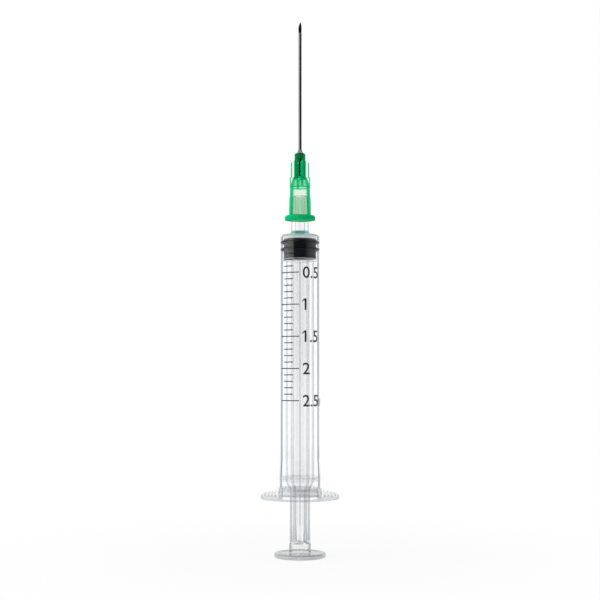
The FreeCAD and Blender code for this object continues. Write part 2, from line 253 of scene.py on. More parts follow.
def finished(piece: Piece) -> Piece:
    """Merges doubles, turns the faces outwards, shades by area and returns the piece."""
    mesh = bmesh.new()
    mesh.from_mesh(piece.data)
    bmesh.ops.remove_doubles(mesh, verts=mesh.verts[:], dist=SAME_POINT * MM)
    bmesh.ops.dissolve_degenerate(mesh, edges=mesh.edges[:], dist=SAME_POINT * MM)
    outwards(mesh).to_mesh(piece.data)
    mesh.free()
    piece.data.shade_smooth()
    piece.data.set_sharp_from_angle(angle=CREASE)
    piece.modifiers.new("even_shading", "WEIGHTED_NORMAL").keep_sharp = True
    return piece


def math_node(operation: str, swapped: bool = False) -> Callable[["Value", Any], "Value"]:
    """Makes an operator for Value.

    Args:
        operation: Operation of the Math node.
        swapped: Whether the value is the second operand.

    Returns:
        The method.
    """

    def method(self: "Value", other: Any) -> "Value":
        """Returns the result of one Math node."""
        first, second = (other, self) if swapped else (self, other)
        return self.shader.node("ShaderNodeMath", {0: first, 1: second},
                                operation=operation)["Value"]

    return method


@dataclass(eq=False)
class Value:
    """A shader socket whose operators add Math nodes."""

    shader: "Shader"
    socket: bpy.types.NodeSocket

    __add__ = math_node("ADD")
    __radd__ = math_node("ADD", swapped=True)
    __sub__ = math_node("SUBTRACT")
    __rsub__ = math_node("SUBTRACT", swapped=True)
    __mul__ = math_node("MULTIPLY")
    __rmul__ = math_node("MULTIPLY", swapped=True)
    __pow__ = math_node("POWER")
    larger = math_node("MAXIMUM")


@dataclass(frozen=True)
class Grain:
    """Noise on a piece's own coordinates.

    Args:
        scale: Features per metre.
        detail: Finer layers of the noise.
        stretch: Factor of each axis. A small one draws the features out.
    """

    scale: float
    detail: float = 2.0
    stretch: Tuple[float, float, float] = (1, 1, 1)


class Shader:
    """A node tree that is written as expressions."""

    EVEN_BLEND = 0.5
    MIX_COLOURS = (6, 7)

    def __init__(self, owner: Any) -> None:
        """Empties the node tree of a material or world."""
        owner.use_nodes = True
        self.tree = owner.node_tree
        self.tree.nodes.clear()

    def node(self, kind: str, inputs: Optional[Dict[Any, Any]] = None,
             **settings: Any) -> Dict[str, Value]:
        """Adds one node.

        Args:
            kind: The node's type.
            inputs: Values or linked outputs by input name or number.
            settings: Properties that are set first.

        Returns:
            The node's outputs by name.
        """
        made = self.tree.nodes.new(kind)
        for name, value in settings.items():
            setattr(made, name, value)
        for name, value in (inputs or {}).items():
            if isinstance(value, Value):
                self.tree.links.new(value.socket, made.inputs[name])
            else:
                made.inputs[name].default_value = value
        return {output.name: Value(self, output) for output in made.outputs if output.enabled}

    def vector(self, operation: str, *operands: Any) -> Dict[str, Value]:
        """Returns the outputs of one Vector Math node."""
        return self.node("ShaderNodeVectorMath", dict(enumerate(operands)), operation=operation)

    def parts(self, vector: Value) -> Dict[str, Value]:
        """Returns X, Y and Z of a vector."""
        return self.node("ShaderNodeSeparateXYZ", {"Vector": vector})

    def where(self) -> Value:
        """Returns the place on the piece, in metres."""
        return self.node("ShaderNodeTexCoord")["Object"]

    def height(self) -> Value:
        """Returns the height on the piece, in metres."""
        return self.parts(self.where())["Z"]

    def radius(self) -> Value:
        """Returns the distance from the syringe's axis, in metres."""
        parts = self.parts(self.where())
        return (parts["X"] ** 2 + parts["Y"] ** 2) ** 0.5

    def noise(self, grain: Grain) -> Value:
        """Returns noise between 0 and 1."""
        mapped = self.node("ShaderNodeMapping", {"Vector": self.where(), "Scale": grain.stretch})
        return self.node("ShaderNodeTexNoise", {
            "Vector": mapped["Vector"], "Scale": grain.scale, "Detail": grain.detail})["Fac"]

    def between(self, value: Value, low: float, high: float,
                start: float = 0.0, end: float = 1.0) -> Value:
        """Returns a smooth step from start to end as the value goes from low to high."""
        return self.node("ShaderNodeMapRange", {
            "Value": value, "From Min": low, "From Max": high, "To Min": start, "To Max": end},
            interpolation_type="SMOOTHSTEP")["Result"]

    def rise(self, value: Value, low: float, high: float,
             start: float = 0.0, end: float = 1.0) -> Value:
        """Returns a smooth step between two sizes in millimetres."""
        return self.between(value, low * MM, high * MM, start, end)

    def band(self, value: Value, low: float, high: float, soft: float = BAND_FADE) -> Value:
        """Returns 1 while a value lies between two sizes in millimetres, fading outside."""
        return (self.rise(value, low - soft, low)
                * self.rise(value, high, high + soft, 1.0, 0.0))

    def blend(self, mask: Value, first: Any, second: Any) -> Value:
        """Returns the first colour where the mask is 0 and the second where it is 1."""
        return self.node("ShaderNodeMix", {0: mask, **dict(zip(self.MIX_COLOURS, (first, second)))},
                         data_type="RGBA")["Result"]

    def outward(self) -> Value:
        """Returns 1 where a face looks away from the axis and 0 where it looks round it."""
        level = self.vector("MULTIPLY", self.where(), (1, 1, 0))["Vector"]
        away = self.vector("NORMALIZE", level)["Vector"]
        normal = self.node("ShaderNodeTexCoord")["Normal"]
        return self.vector("DOT_PRODUCT", away, normal)["Value"] ** 2

    def facing(self) -> Value:
        """Returns 0 where a surface is seen straight on and 1 where it is seen edge-on."""
        return self.node("ShaderNodeLayerWeight", {"Blend": self.EVEN_BLEND})["Facing"]

    def bump(self, height: Value, strength: float, distance: float) -> Value:
        """Returns a normal that follows a height of the given distance in millimetres."""
        return self.node("ShaderNodeBump", {
            "Height": height, "Strength": strength, "Distance": distance * MM})["Normal"]

    def clear(self, tint: Colour) -> Value:
        """Returns a face that only tints the light that crosses it."""
        return self.node("ShaderNodeBsdfTransparent", {"Color": tint})["BSDF"]

    def principled(self, inputs: Dict[str, Any]) -> Value:
        """Returns a Principled surface."""
        return self.node("ShaderNodeBsdfPrincipled", inputs)["BSDF"]

    def diffuse(self, tint: Colour) -> Value:
        """Returns a matt surface."""
        return self.node("ShaderNodeBsdfDiffuse", {"Color": tint})["BSDF"]

    def mixed(self, share: Value, first: Value, second: Value) -> Value:
        """Returns the first surface where the share is 0 and the second where it is 1."""
        return self.node("ShaderNodeMixShader", {0: share, 1: first, 2: second})["Shader"]

    def output(self, surface: Value, kind: str = "ShaderNodeOutputMaterial") -> None:
        """Links the finished surface to the output."""
        self.node(kind, {"Surface": surface})


def colour(red: float, green: float, blue: float) -> Colour:
    """Returns an opaque colour."""
    return red, green, blue, 1.0


@dataclass(frozen=True)
class Finish:
    """A material that is written as a surface."""

    name: str

    def surface(self, shader: Shader) -> Value:
        """Returns the finished surface."""
        raise NotImplementedError

    def material(self) -> bpy.types.Material:
        """Returns the finish as a material."""
        made = bpy.data.materials.new(self.name)
        shader = Shader(made)
        shader.output(self.surface(shader))
        return made


@dataclass(frozen=True)
class SeeThrough(Finish):
    """What every see-through moulding shares: body colour, gloss and flow marks.

    Light goes straight through a wall and takes its tint at each face that it crosses.
    """

    body: Colour = colour(0.7, 0.72, 0.74)
    body_roughness: float = 0.3
    gloss: Colour = colour(0.95, 0.96, 0.97)
    roughness: float = 0.05
    flow: Grain = Grain(250, 3, (1, 1, 0.15))
    haze: float = 0.06
    bare: float = 0.04
    steepness: float = 5.0
    inside_loss: float = 0.75
    inside_clear: float = 0.0
    polish: float = 1.0

    def shine(self, shader: Shader) -> Any:
        """Returns the share of its full gloss that a place has."""
        return self.polish

    def tinted(self, shader: Shader, plain: Colour, *layers: Tuple[Value, Colour]) -> Value:
        """Builds a clear face of one tint that changes to others.

        Args:
            shader: The material's shader.
            plain: Tint of the light that crosses the face.
            layers: Masks, and the tint that holds where the mask is 1. Later ones lie on top.

        Returns:
            The clear face.
        """
        face = shader.clear(plain)
        for mask, tint in layers:
            face = shader.mixed(mask, face, shader.clear(tint))
        return face

    def moulded(self, shader: Shader, face: Value, cloud: Any, body: Any) -> Value:
        """Adds what a clear face scatters and reflects.

        Args:
            shader: The material's shader.
            face: The clear face.
            cloud: How much it scatters, from 0 to 1.
            body: Colour of what it scatters.

        Returns:
            The finished surface.
        """
        scattered = shader.principled({
            "Base Color": body, "Roughness": self.body_roughness, "Specular IOR Level": 0.0})
        gloss = shader.principled({
            "Base Color": self.gloss, "Metallic": 1.0,
            "Roughness": self.roughness + shader.noise(self.flow) * self.haze})
        grazing = self.bare + (1 - self.bare) * shader.facing() ** self.steepness
        inside = shader.node("ShaderNodeNewGeometry")["Backfacing"]
        grazing = grazing * (1 - inside * self.inside_loss) * self.shine(shader)
        cloud = cloud * (1 - inside * self.inside_clear)
        return shader.mixed(grazing, shader.mixed(cloud, face, scattered), gloss)


@dataclass(frozen=True)
class ClearPlastic(SeeThrough):
    """Water-clear moulded plastic that turns grey where light grazes it."""

    tint: Colour = colour(0.99, 0.993, 0.996)
    rim: Colour = colour(0.45, 0.47, 0.5)
    rim_step: Pair = (0.42, 0.88)
    cloud: float = 0.012
    rim_cloud: float = 0.1
    streaks: Grain = Grain(600, 3)
    streak_cloud: float = 0.02

    def dark(self, shader: Shader) -> Value:
        """Returns 1 where the plastic looks dark."""
        return shader.between(shader.facing(), *self.rim_step)

    def milky(self, shader: Shader, dark: Value) -> Value:
        """Returns how much the plastic scatters."""
        return self.cloud + dark * self.rim_cloud + shader.noise(self.streaks) * self.streak_cloud

    def layers(self, shader: Shader, dark: Value) -> List[Tuple[Value, Colour]]:
        """Returns the masks and tints that lie over the plain tint."""
        return [(dark, self.rim)]

    def surface(self, shader: Shader) -> Value:
        """Returns the finished surface."""
        dark = self.dark(shader)
        face = self.tinted(shader, self.tint, *self.layers(shader, dark))
        return self.moulded(shader, face, self.milky(shader, dark), self.body)


@dataclass(frozen=True)
class BarrelPlastic(ClearPlastic):
    """Clear barrel: its wall shows a dark line where the bore's edge bends the light."""

    gloss: Colour = colour(0.92, 0.955, 0.98)
    fade: float = 0.2
    line: float = 0.595
    line_width: float = 0.09
    wall_step: Pair = (0.45, 0.55)
    wall_shade: float = 0.18
    edge_step: Pair = (0.9, 0.99)
    edge_shade: float = 0.5
    # Painted shade: thick_shade tints the thick end wall, collar and bead darker.
    thick_shade: float = 0.1
    thick_cloud: float = 0.2
    bead_share: float = 0.6
    # Painted shadow: the ridge fields darken a band along the grip ridges of the finger flange.
    ridge_band: Pair = (0.1, 0.4)
    ridge_fade: float = 0.05
    ridge_gap: float = 0.6
    ridge_shade: float = 0.5
    wing_gap: float = 0.4
    wing_loss: float = 0.4
    covered_clear: float = 0.3
    # Painted light: a teal tint at the nozzle's root and at the bore's end stands in for the green
    # hub's colour seen through the nozzle.
    painted_hub_light: Colour = colour(0.25, 0.58, 0.54)
    painted_hub_band: Pair = (0.1, 0.6)
    painted_hub_r: float = 2.9
    painted_hub_fade: float = 0.3
    painted_hub_inside: float = 0.5

    def covered(self, shader: Shader) -> Value:
        """Returns 1 on the cone that the needle's hub covers."""
        mouth = NeedleHub().low
        return shader.rise(shader.height(), mouth, mouth + self.fade)

    def shine(self, shader: Shader) -> Value:
        """Returns the share of its full gloss that a place has."""
        return 1 - self.covered(shader)

    def in_tube(self, shader: Shader) -> Value:
        """Returns 1 between the collar and the shoulder."""
        barrel = Barrel()
        return shader.band(shader.height(), barrel.flange_top + barrel.collar_height,
                           barrel.shoulder - barrel.shoulder_fall, self.fade)

    def beyond(self, shader: Shader, gap: float) -> Value:
        """Returns 1 where the distance from the tube is past a gap."""
        start = Barrel().outer_r + gap
        return shader.rise(shader.radius(), start, start + self.fade)

    def wall(self, shader: Shader) -> Value:
        """Returns 1 on the lines that the tube's wall shows in its outer face."""
        barrel = Barrel()
        facing = shader.facing()
        skin = barrel.bore_r + barrel.wall / 2
        off = (facing - self.line).larger(self.line - facing)
        line = shader.between(off, self.line_width / 2, self.line_width, 1.0, 0.0)
        line = line.larger(shader.between(facing, *self.wall_step, 0.0, self.wall_shade))
        line = line.larger(shader.between(facing, *self.edge_step, 0.0, self.edge_shade))
        return line * shader.rise(shader.radius(), skin, skin + barrel.wall / 4)

    def thick(self, shader: Shader) -> Value:
        """Returns 1 in the end wall and the collar, and less in the bead."""
        barrel = Barrel()
        height = shader.height()
        radius = shader.radius()
        bead = barrel.low + barrel.bead_underside
        end_wall = (shader.band(height, barrel.bore_end, barrel.shoulder)
                    * shader.band(radius, barrel.nozzle_tip_r, barrel.outer_r + OVERSHOOT))
        collar = (shader.band(height, barrel.flange_top, barrel.flange_top + barrel.collar_height)
                  * shader.band(radius, barrel.bore_r, barrel.outer_r + 2 * barrel.flare))
        return end_wall.larger(collar).larger(
            shader.band(height, bead, bead + barrel.bead_height) * self.bead_share)

    def dark(self, shader: Shader) -> Value:
        """Returns 1 where the plastic looks dark."""
        barrel = Barrel()
        height = shader.height()
        wings = (shader.band(height, barrel.low - OVERSHOOT, barrel.flange_top)
                 * self.beyond(shader, self.wing_gap))
        rim = (ClearPlastic.dark(self, shader) * (1 - wings * self.wing_loss)
               * (1 - self.covered(shader) * self.covered_clear))
        dark = rim + self.in_tube(shader) * (self.wall(shader) - rim)
        # Painted shadow along the grip ridges.
        foot, top = self.ridge_band
        ridges = (shader.band(height, barrel.flange_top + foot, barrel.flange_top + top,
                              self.ridge_fade) * self.beyond(shader, self.ridge_gap))
        # Painted shade in the thick end wall, collar and bead, and painted shadow along the grip
        # ridges.
        return dark.larger(self.thick(shader) * self.thick_shade).larger(ridges * self.ridge_shade)

    def milky(self, shader: Shader, dark: Value) -> Value:
        """Returns how much the plastic scatters."""
        plain = 1 - self.in_tube(shader).larger(self.covered(shader))
        return (ClearPlastic.milky(self, shader, dark) * plain
                + self.thick(shader) * self.thick_cloud)

    def layers(self, shader: Shader, dark: Value) -> List[Tuple[Value, Colour]]:
        """Returns the dark parts, and the root of the nozzle painted teal: painted light for the
        green hub's colour seen through it.
        """
        barrel = Barrel()
        height = shader.height()
        # Painted light: the green hub's colour, painted onto the clear barrel.
        low, high = self.painted_hub_band
        root = shader.band(height, barrel.shoulder + low, barrel.shoulder + high, self.fade)
        mouth = shader.band(height, barrel.bore_end - low, barrel.bore_end + low, self.fade)
        root = (root.larger(mouth * self.painted_hub_inside)
                * shader.band(shader.radius(), 0, self.painted_hub_r, self.painted_hub_fade))
        return [*ClearPlastic.layers(self, shader, dark), (root, self.painted_hub_light)]


@dataclass(frozen=True)
class RodPlastic(ClearPlastic):
    """Clear rod: the ends and roots of its ribs, its foot where seen edge-on and the edges of its
    disc are painted dark, painted shade for the lines that light bends into the clear plastic.
    """

    end_step: Pair = (-0.2, -0.1)
    end_shade: float = 0.55
    upper_loss: float = 0.3
    line_step: Pair = (0.006, 0.02)
    root_step: Pair = (0.05, 0.15)
    root_shade: float = 0.8
    foot_step: Pair = (0.25, 0.8)
    foot_cloud: float = 0.08
    disc_foot: float = 0.15
    disc_foot_shade: float = 0.4
    disc_top: Pair = (-0.25, 0.1)
    disc_top_shade: float = 0.85
    disc_cloud: float = 0.15
    rib_clear: float = 0.7
    head_gap: float = 0.1

    def in_ribs(self, shader: Shader) -> Value:
        """Returns 1 between the boss and the head plate."""
        rod = PlungerRod()
        return shader.band(shader.height(), rod.boss_end, rod.plate_underside - self.head_gap)

    def out_of_ribs(self, shader: Shader) -> Value:
        """Returns 1 outside the ribs' length and less along it."""
        return 1 - self.in_ribs(shader) * self.rib_clear

    def in_foot(self, shader: Shader) -> Value:
        """Returns 1 between the disc and the ribs' free length."""
        rod = PlungerRod()
        return shader.band(shader.height(), rod.disc_thickness, rod.boss_end)

    def ribs(self, shader: Shader) -> Value:
        """Returns 1 on the ends and roots of the ribs."""
        rod = PlungerRod()
        height = shader.height()
        radius = shader.radius()
        full = shader.rise(height, rod.rib_step_start, rod.rib_step_end)
        past_reach = radius - (rod.lower_r + rod.rib_step * full) * MM
        end = (shader.rise(past_reach, *self.end_step, 0.0, self.end_shade)
               * (1 - full * self.upper_loss))
        end = end.larger(shader.rise(past_reach, *self.line_step))
        thinner = (rod.foot_thickness - rod.rib_thickness) * shader.rise(height, 0, rod.foot_top)
        corner = (rod.foot_thickness - thinner) * (HALF_DIAGONAL * MM)
        root = shader.rise(radius - corner, *self.root_step, 1.0, 0.0)
        return end.larger(root * self.root_shade) * self.in_ribs(shader)

    def disc_edges(self, shader: Shader) -> Value:
        """Returns the shade of the thumb disc's upper and lower edge."""
        rod = PlungerRod()
        height = shader.height()
        below, above = self.disc_top
        foot = shader.band(height, -OVERSHOOT, self.disc_foot) * self.disc_foot_shade
        top = shader.band(height, rod.disc_thickness + below, rod.disc_thickness + above)
        return foot.larger(top * self.disc_top_shade) * shader.band(
            shader.radius(), rod.disc_r - rod.disc_edge, rod.disc_r + OVERSHOOT)

    def dark(self, shader: Shader) -> Value:
        """Returns 1 where the plastic looks dark."""
        # Painted shade: rib ends and roots, the foot seen edge-on and the disc's edges.
        foot = self.in_foot(shader) * shader.between(shader.facing(), *self.foot_step)
        rim = ClearPlastic.dark(self, shader) * self.out_of_ribs(shader)
        return rim.larger(self.ribs(shader)).larger(foot).larger(self.disc_edges(shader))

    def milky(self, shader: Shader, dark: Value) -> Value:
        """Returns how much the plastic scatters."""
        disc = shader.band(shader.height(), -OVERSHOOT, PlungerRod().disc_thickness)
        return (ClearPlastic.milky(self, shader, dark) * self.out_of_ribs(shader)
                + (disc * self.disc_cloud).larger(self.in_foot(shader) * self.foot_cloud))


@dataclass(frozen=True)
class GreenPlastic(SeeThrough):
    """Green see-through plastic: deep in the nose and at edges, pale where a wall is thin, with
    painted light on the blades' outer edges and painted shade at the socket's step.
    """

    body: Colour = colour(0.004, 0.5, 0.17)
    # Painted light: the blades' outer edges scatter this brighter green, for light that the fins
    # carry to their edges.
    painted_edge_light: Colour = colour(0.006, 0.68, 0.24)
    deep: Colour = colour(0.04, 0.5, 0.28)
    edge: Colour = colour(0.08, 0.74, 0.45)
    rib: Colour = colour(0.05, 0.68, 0.38)
    foot: Colour = colour(0.8, 0.9, 0.82)
    belt: Colour = colour(0.93, 0.97, 0.93)
    dome: Colour = colour(0.75, 0.91, 0.82)
    thin: Colour = colour(0.93, 0.98, 0.95)
    bare: float = 0.0
    inside_loss: float = 1.0
    inside_clear: float = 1.0
    polish: float = 0.08
    blur: float = 0.07
    fade: float = 0.05
    belt_gap: float = 0.1
    dome_step: Pair = (9.0, 10.5)
    dome_r: float = 1.0
    nose_root: float = 9.75
    nose_flare: float = 0.35
    blade_gap: float = 0.15
    fin_step: Pair = (0.3, 0.6)
    front_fin: float = 0.25
    foot_gap: float = 0.04
    foot_edge: float = 0.75
    # Painted shade: a deeper green band round the socket's step.
    ledge_band: Pair = (-0.1, 0.05)
    ledge_shade: float = 0.5
    grazing_step: Pair = (0.2, 0.42)
    grazing_inside: float = 0.25
    edge_cloud: float = 0.3
    blade_cloud: float = 0.7

    def past(self, shader: Shader, value: Value, edge: float) -> Value:
        """Returns 1 where a value is past an edge in millimetres, softened."""
        return shader.rise(value, edge - self.blur, edge + self.blur)

    def skin(self, shader: Shader) -> Value:
        """Returns 1 on the hub's outside and 0 in its hollow."""
        hub = NeedleHub()
        start, end = self.dome_step
        inner_r = shader.rise(shader.height(), hub.low + start, hub.low + end,
                              (hub.body_top_r - hub.wall / 2) * MM, self.dome_r * MM)
        return self.past(shader, shader.radius() - inner_r, 0)

    def nose(self, shader: Shader, skin: Value) -> Value:
        """Returns 1 on the nose and in its root on the ogive."""
        hub = NeedleHub()
        height = shader.height()
        root = (self.past(shader, height, hub.low + self.nose_root)
                * shader.band(shader.radius(), 0, hub.nose_r + self.nose_flare))
        return skin * self.past(shader, height, hub.low + hub.mid_top).larger(root)

    def ridges(self, shader: Shader) -> Value:
        """Returns 1 on the outer faces of the fins' steps."""
        hub = NeedleHub()
        radius = shader.radius()
        sideways = shader.between(shader.outward(), *self.fin_step, 1.0, self.front_fin)
        foot = self.past(shader, radius, hub.body_r + self.foot_gap) * self.foot_edge * sideways
        middle = shader.band(shader.height(), hub.low + hub.mid_start, hub.low + hub.mid_top,
                             self.fade)
        return foot.larger(middle * self.past(
            shader, radius, hub.body_top_r + hub.mid_rise - self.blur))

    def surface(self, shader: Shader) -> Value:
        """Returns the finished surface."""
        hub = NeedleHub()
        radius = shader.radius()
        height = shader.height()
        step = hub.low + hub.socket_depth
        belt = self.past(shader, height, hub.low + hub.foot_top + self.belt_gap)
        dome = self.past(shader, height, step)
        skin = self.skin(shader)
        nose = self.nose(shader, skin)
        blade = (self.past(shader, height, hub.low + hub.mid_top)
                 * self.past(shader, radius, hub.nose_r + self.blade_gap))
        blade_edge = blade * self.past(shader, radius,
                                       hub.nose_r + hub.blade_rise - self.blade_gap)
        # Painted shade at the socket's step.
        below, above = self.ledge_band
        ledge = shader.band(height, step + below, step + above, self.fade)
        flange = shader.band(height, hub.low - OVERSHOOT,
                             hub.low + hub.flange_thickness + self.fade)
        grazing = (shader.between(shader.facing(), *self.grazing_step)
                   * (skin * (1 - self.grazing_inside) + self.grazing_inside))
        ridge = self.ridges(shader)
        face = self.tinted(shader, self.foot, (belt, self.belt), (dome, self.dome),
                           (grazing.larger(ledge * self.ledge_shade), self.edge),
                           (ridge.larger(flange), self.rib), (nose, self.deep),
                           (blade, self.thin), (blade_edge, self.rib))
        cloud = grazing.larger(ridge) * self.edge_cloud * (1 - nose)
        cloud = (cloud + flange * (1 - cloud)) * (1 - blade)
        # Painted light on the blades' outer edges.
        cloud = (cloud + blade_edge * (self.blade_cloud - cloud)) * skin
        return self.moulded(shader, face, cloud,
                            shader.blend(blade_edge, self.body, self.painted_edge_light))


@dataclass(frozen=True)
class Rubber(Finish):
    """Black moulded rubber with a faint bloom, matt where it presses on the bore."""

    dark: Colour
    bloom: Colour
    sheen: Colour = colour(0.75, 0.88, 1.0)
    specular: float = 0.17
    dust: Grain = Grain(900, 4)
    bloom_step: Pair = (0.45, 0.75)
    pores: Grain = Grain(6000, 3)
    pore_bump: Pair = (0.06, 0.01)
    contact_width: float = 0.05
    roughness: float = 0.45
    dust_roughness: float = 0.1
    contact_roughness: float = 0.4

    def surface(self, shader: Shader) -> Value:
        """Returns the finished surface."""
        dust = shader.noise(self.dust)
        edge = Stopper().ring_r
        contact = shader.rise(shader.radius(), edge, edge + self.contact_width)
        powder = shader.between(dust, *self.bloom_step) * (1 - contact)
        return shader.principled({
            "Base Color": shader.blend(powder, self.dark, self.bloom),
            "Roughness": (self.roughness + dust * self.dust_roughness
                          + contact * self.contact_roughness),
            "Specular IOR Level": self.specular, "Specular Tint": self.sheen,
            "Normal": shader.bump(shader.noise(self.pores), *self.pore_bump)})


@dataclass(frozen=True)
class DrawnSteel(Finish):
    """Stainless tube, drawn lengthwise and polished, painted near black where it is ground and
    inside its bore: painted shade.
    """

    base: Colour
    ground: Colour
    draw: Grain = Grain(9000, 2, (1, 1, 0.002))
    draw_bump: Pair = (0.05, 0.002)
    ground_step: Pair = (0.08, 0.16)
    lumen_step: Pair = (0.4, 0.8)
    roughness: float = 0.12
    draw_roughness: float = 0.06
    ground_roughness: float = 0.3

    def surface(self, shader: Shader) -> Value:
        """Returns the finished surface."""
        needle = Cannula()
        draw = shader.noise(self.draw)
        upward = shader.parts(shader.node("ShaderNodeTexCoord")["Normal"])["Z"]
        # Painted shade: the bore and the upward ground faces take the near-black colour, which also
        # tints the edge reflections of the whole needle.
        lumen = shader.rise(shader.radius(), needle.bore_r, needle.outer_r, 1.0, 0.0)
        ground = shader.between(upward, *self.ground_step).larger(
            shader.between(lumen, *self.lumen_step))
        return shader.principled({
            "Base Color": shader.blend(ground, self.base, self.ground), "Metallic": 1.0,
            "Roughness": (self.roughness + draw * self.draw_roughness
                          + ground * self.ground_roughness),
            "Specular Tint": self.ground, "Normal": shader.bump(draw, *self.draw_bump)})


@dataclass(frozen=True)
class Cured(Finish):
    """Milky cured adhesive, painted near-white where it lies inside the hub: painted light that
    makes up for the light that the green hub holds back.
    """

    pale: Colour
    deep: Colour
    painted_light_in_hub: Colour = colour(0.95, 0.95, 0.95)
    cloud: Grain = Grain(1500)
    cloud_step: Pair = (0.35, 0.7)
    cloud_bump: Pair = (0.2, 0.02)
    cloud_roughness: float = 0.1
    roughness: float = 0.25
    transmission: float = 0.35
    fade: float = 0.1

    def surface(self, shader: Shader) -> Value:
        """Returns the finished surface."""
        cloud = shader.noise(self.cloud)
        glue = shader.principled({
            "Base Color": shader.blend(shader.between(cloud, *self.cloud_step),
                                       self.pale, self.deep),
            "Roughness": self.roughness + cloud * self.cloud_roughness,
            "Transmission Weight": self.transmission,
            "Normal": shader.bump(cloud, *self.cloud_bump)})
        top = NeedleHub().high
        # Painted light: inside the hub the glue turns near-white.
        inside = shader.rise(shader.height(), top - self.fade, top, 1.0, 0.0)
        return shader.mixed(inside, glue, shader.diffuse(self.painted_light_in_hub))


@dataclass(frozen=True)
class Ink(Finish):
    """Screen-printed ink, a little uneven in its cover."""

    full: Colour
    thin: Colour
    cover: Grain = Grain(5000, 3)
    cover_step: Pair = (0.5, 0.8)
    cover_roughness: float = 0.1
    roughness: float = 0.5
    specular: float = 0.2

    def surface(self, shader: Shader) -> Value:
        """Returns the finished surface."""
        cover = shader.noise(self.cover)
        return shader.principled({
            "Base Color": shader.blend(shader.between(cover, *self.cover_step),
                                       self.full, self.thin),
            "Roughness": self.roughness + cover * self.cover_roughness,
            "Specular IOR Level": self.specular})


CLEAR_BARREL = BarrelPlastic("clear_barrel_plastic")
CLEAR_ROD = RodPlastic("clear_rod_plastic", tint=colour(0.985, 0.988, 0.99),
                       rim=colour(0.33, 0.34, 0.37), cloud=0.03, rim_step=(0.6, 0.88))
GREEN_PLASTIC = GreenPlastic("green_hub_plastic")
BLACK_RUBBER = Rubber("stopper_rubber", colour(0.0025, 0.004, 0.0058),
                      colour(0.005, 0.0075, 0.0105))
NEEDLE_STEEL = DrawnSteel("needle_steel", colour(0.27, 0.27, 0.27), colour(0.012, 0.012, 0.013))
GLUE = Cured("needle_glue", colour(0.33, 0.39, 0.35), colour(0.22, 0.3, 0.25))
SCALE_INK = Ink("scale_ink", colour(0.03, 0.011, 0.007), colour(0.08, 0.04, 0.028))


def place(piece: Piece, finish: Finish, body: Body, node: str = "") -> None:
    """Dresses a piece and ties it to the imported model.

    Args:
        piece: The finished piece.
        finish: Its finish.
        body: The body that it rides on.
        node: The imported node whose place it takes, if any.
    """
    piece.data.materials.clear()
    piece.data.materials.append(finish.material())
    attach(piece, body.value)
    if node:
        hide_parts(node)
    log.info("%s: %d faces", piece.name, len(piece.data.polygons))


class Part:
    """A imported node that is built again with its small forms."""

    node: str
    slot: str
    body: Body
    finish: Finish

    def __post_init__(self) -> None:
        """Reads the node's lowest and highest height."""
        low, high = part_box(self.node)
        self.low = low.z / MM
        self.high = high.z / MM

    def solid(self) -> Piece:
        """Returns the part's bare form."""
        raise NotImplementedError

    def build(self) -> None:
        """Builds the part and puts it in its node's place."""
        place(finished(self.solid()), self.finish, self.body, self.node)


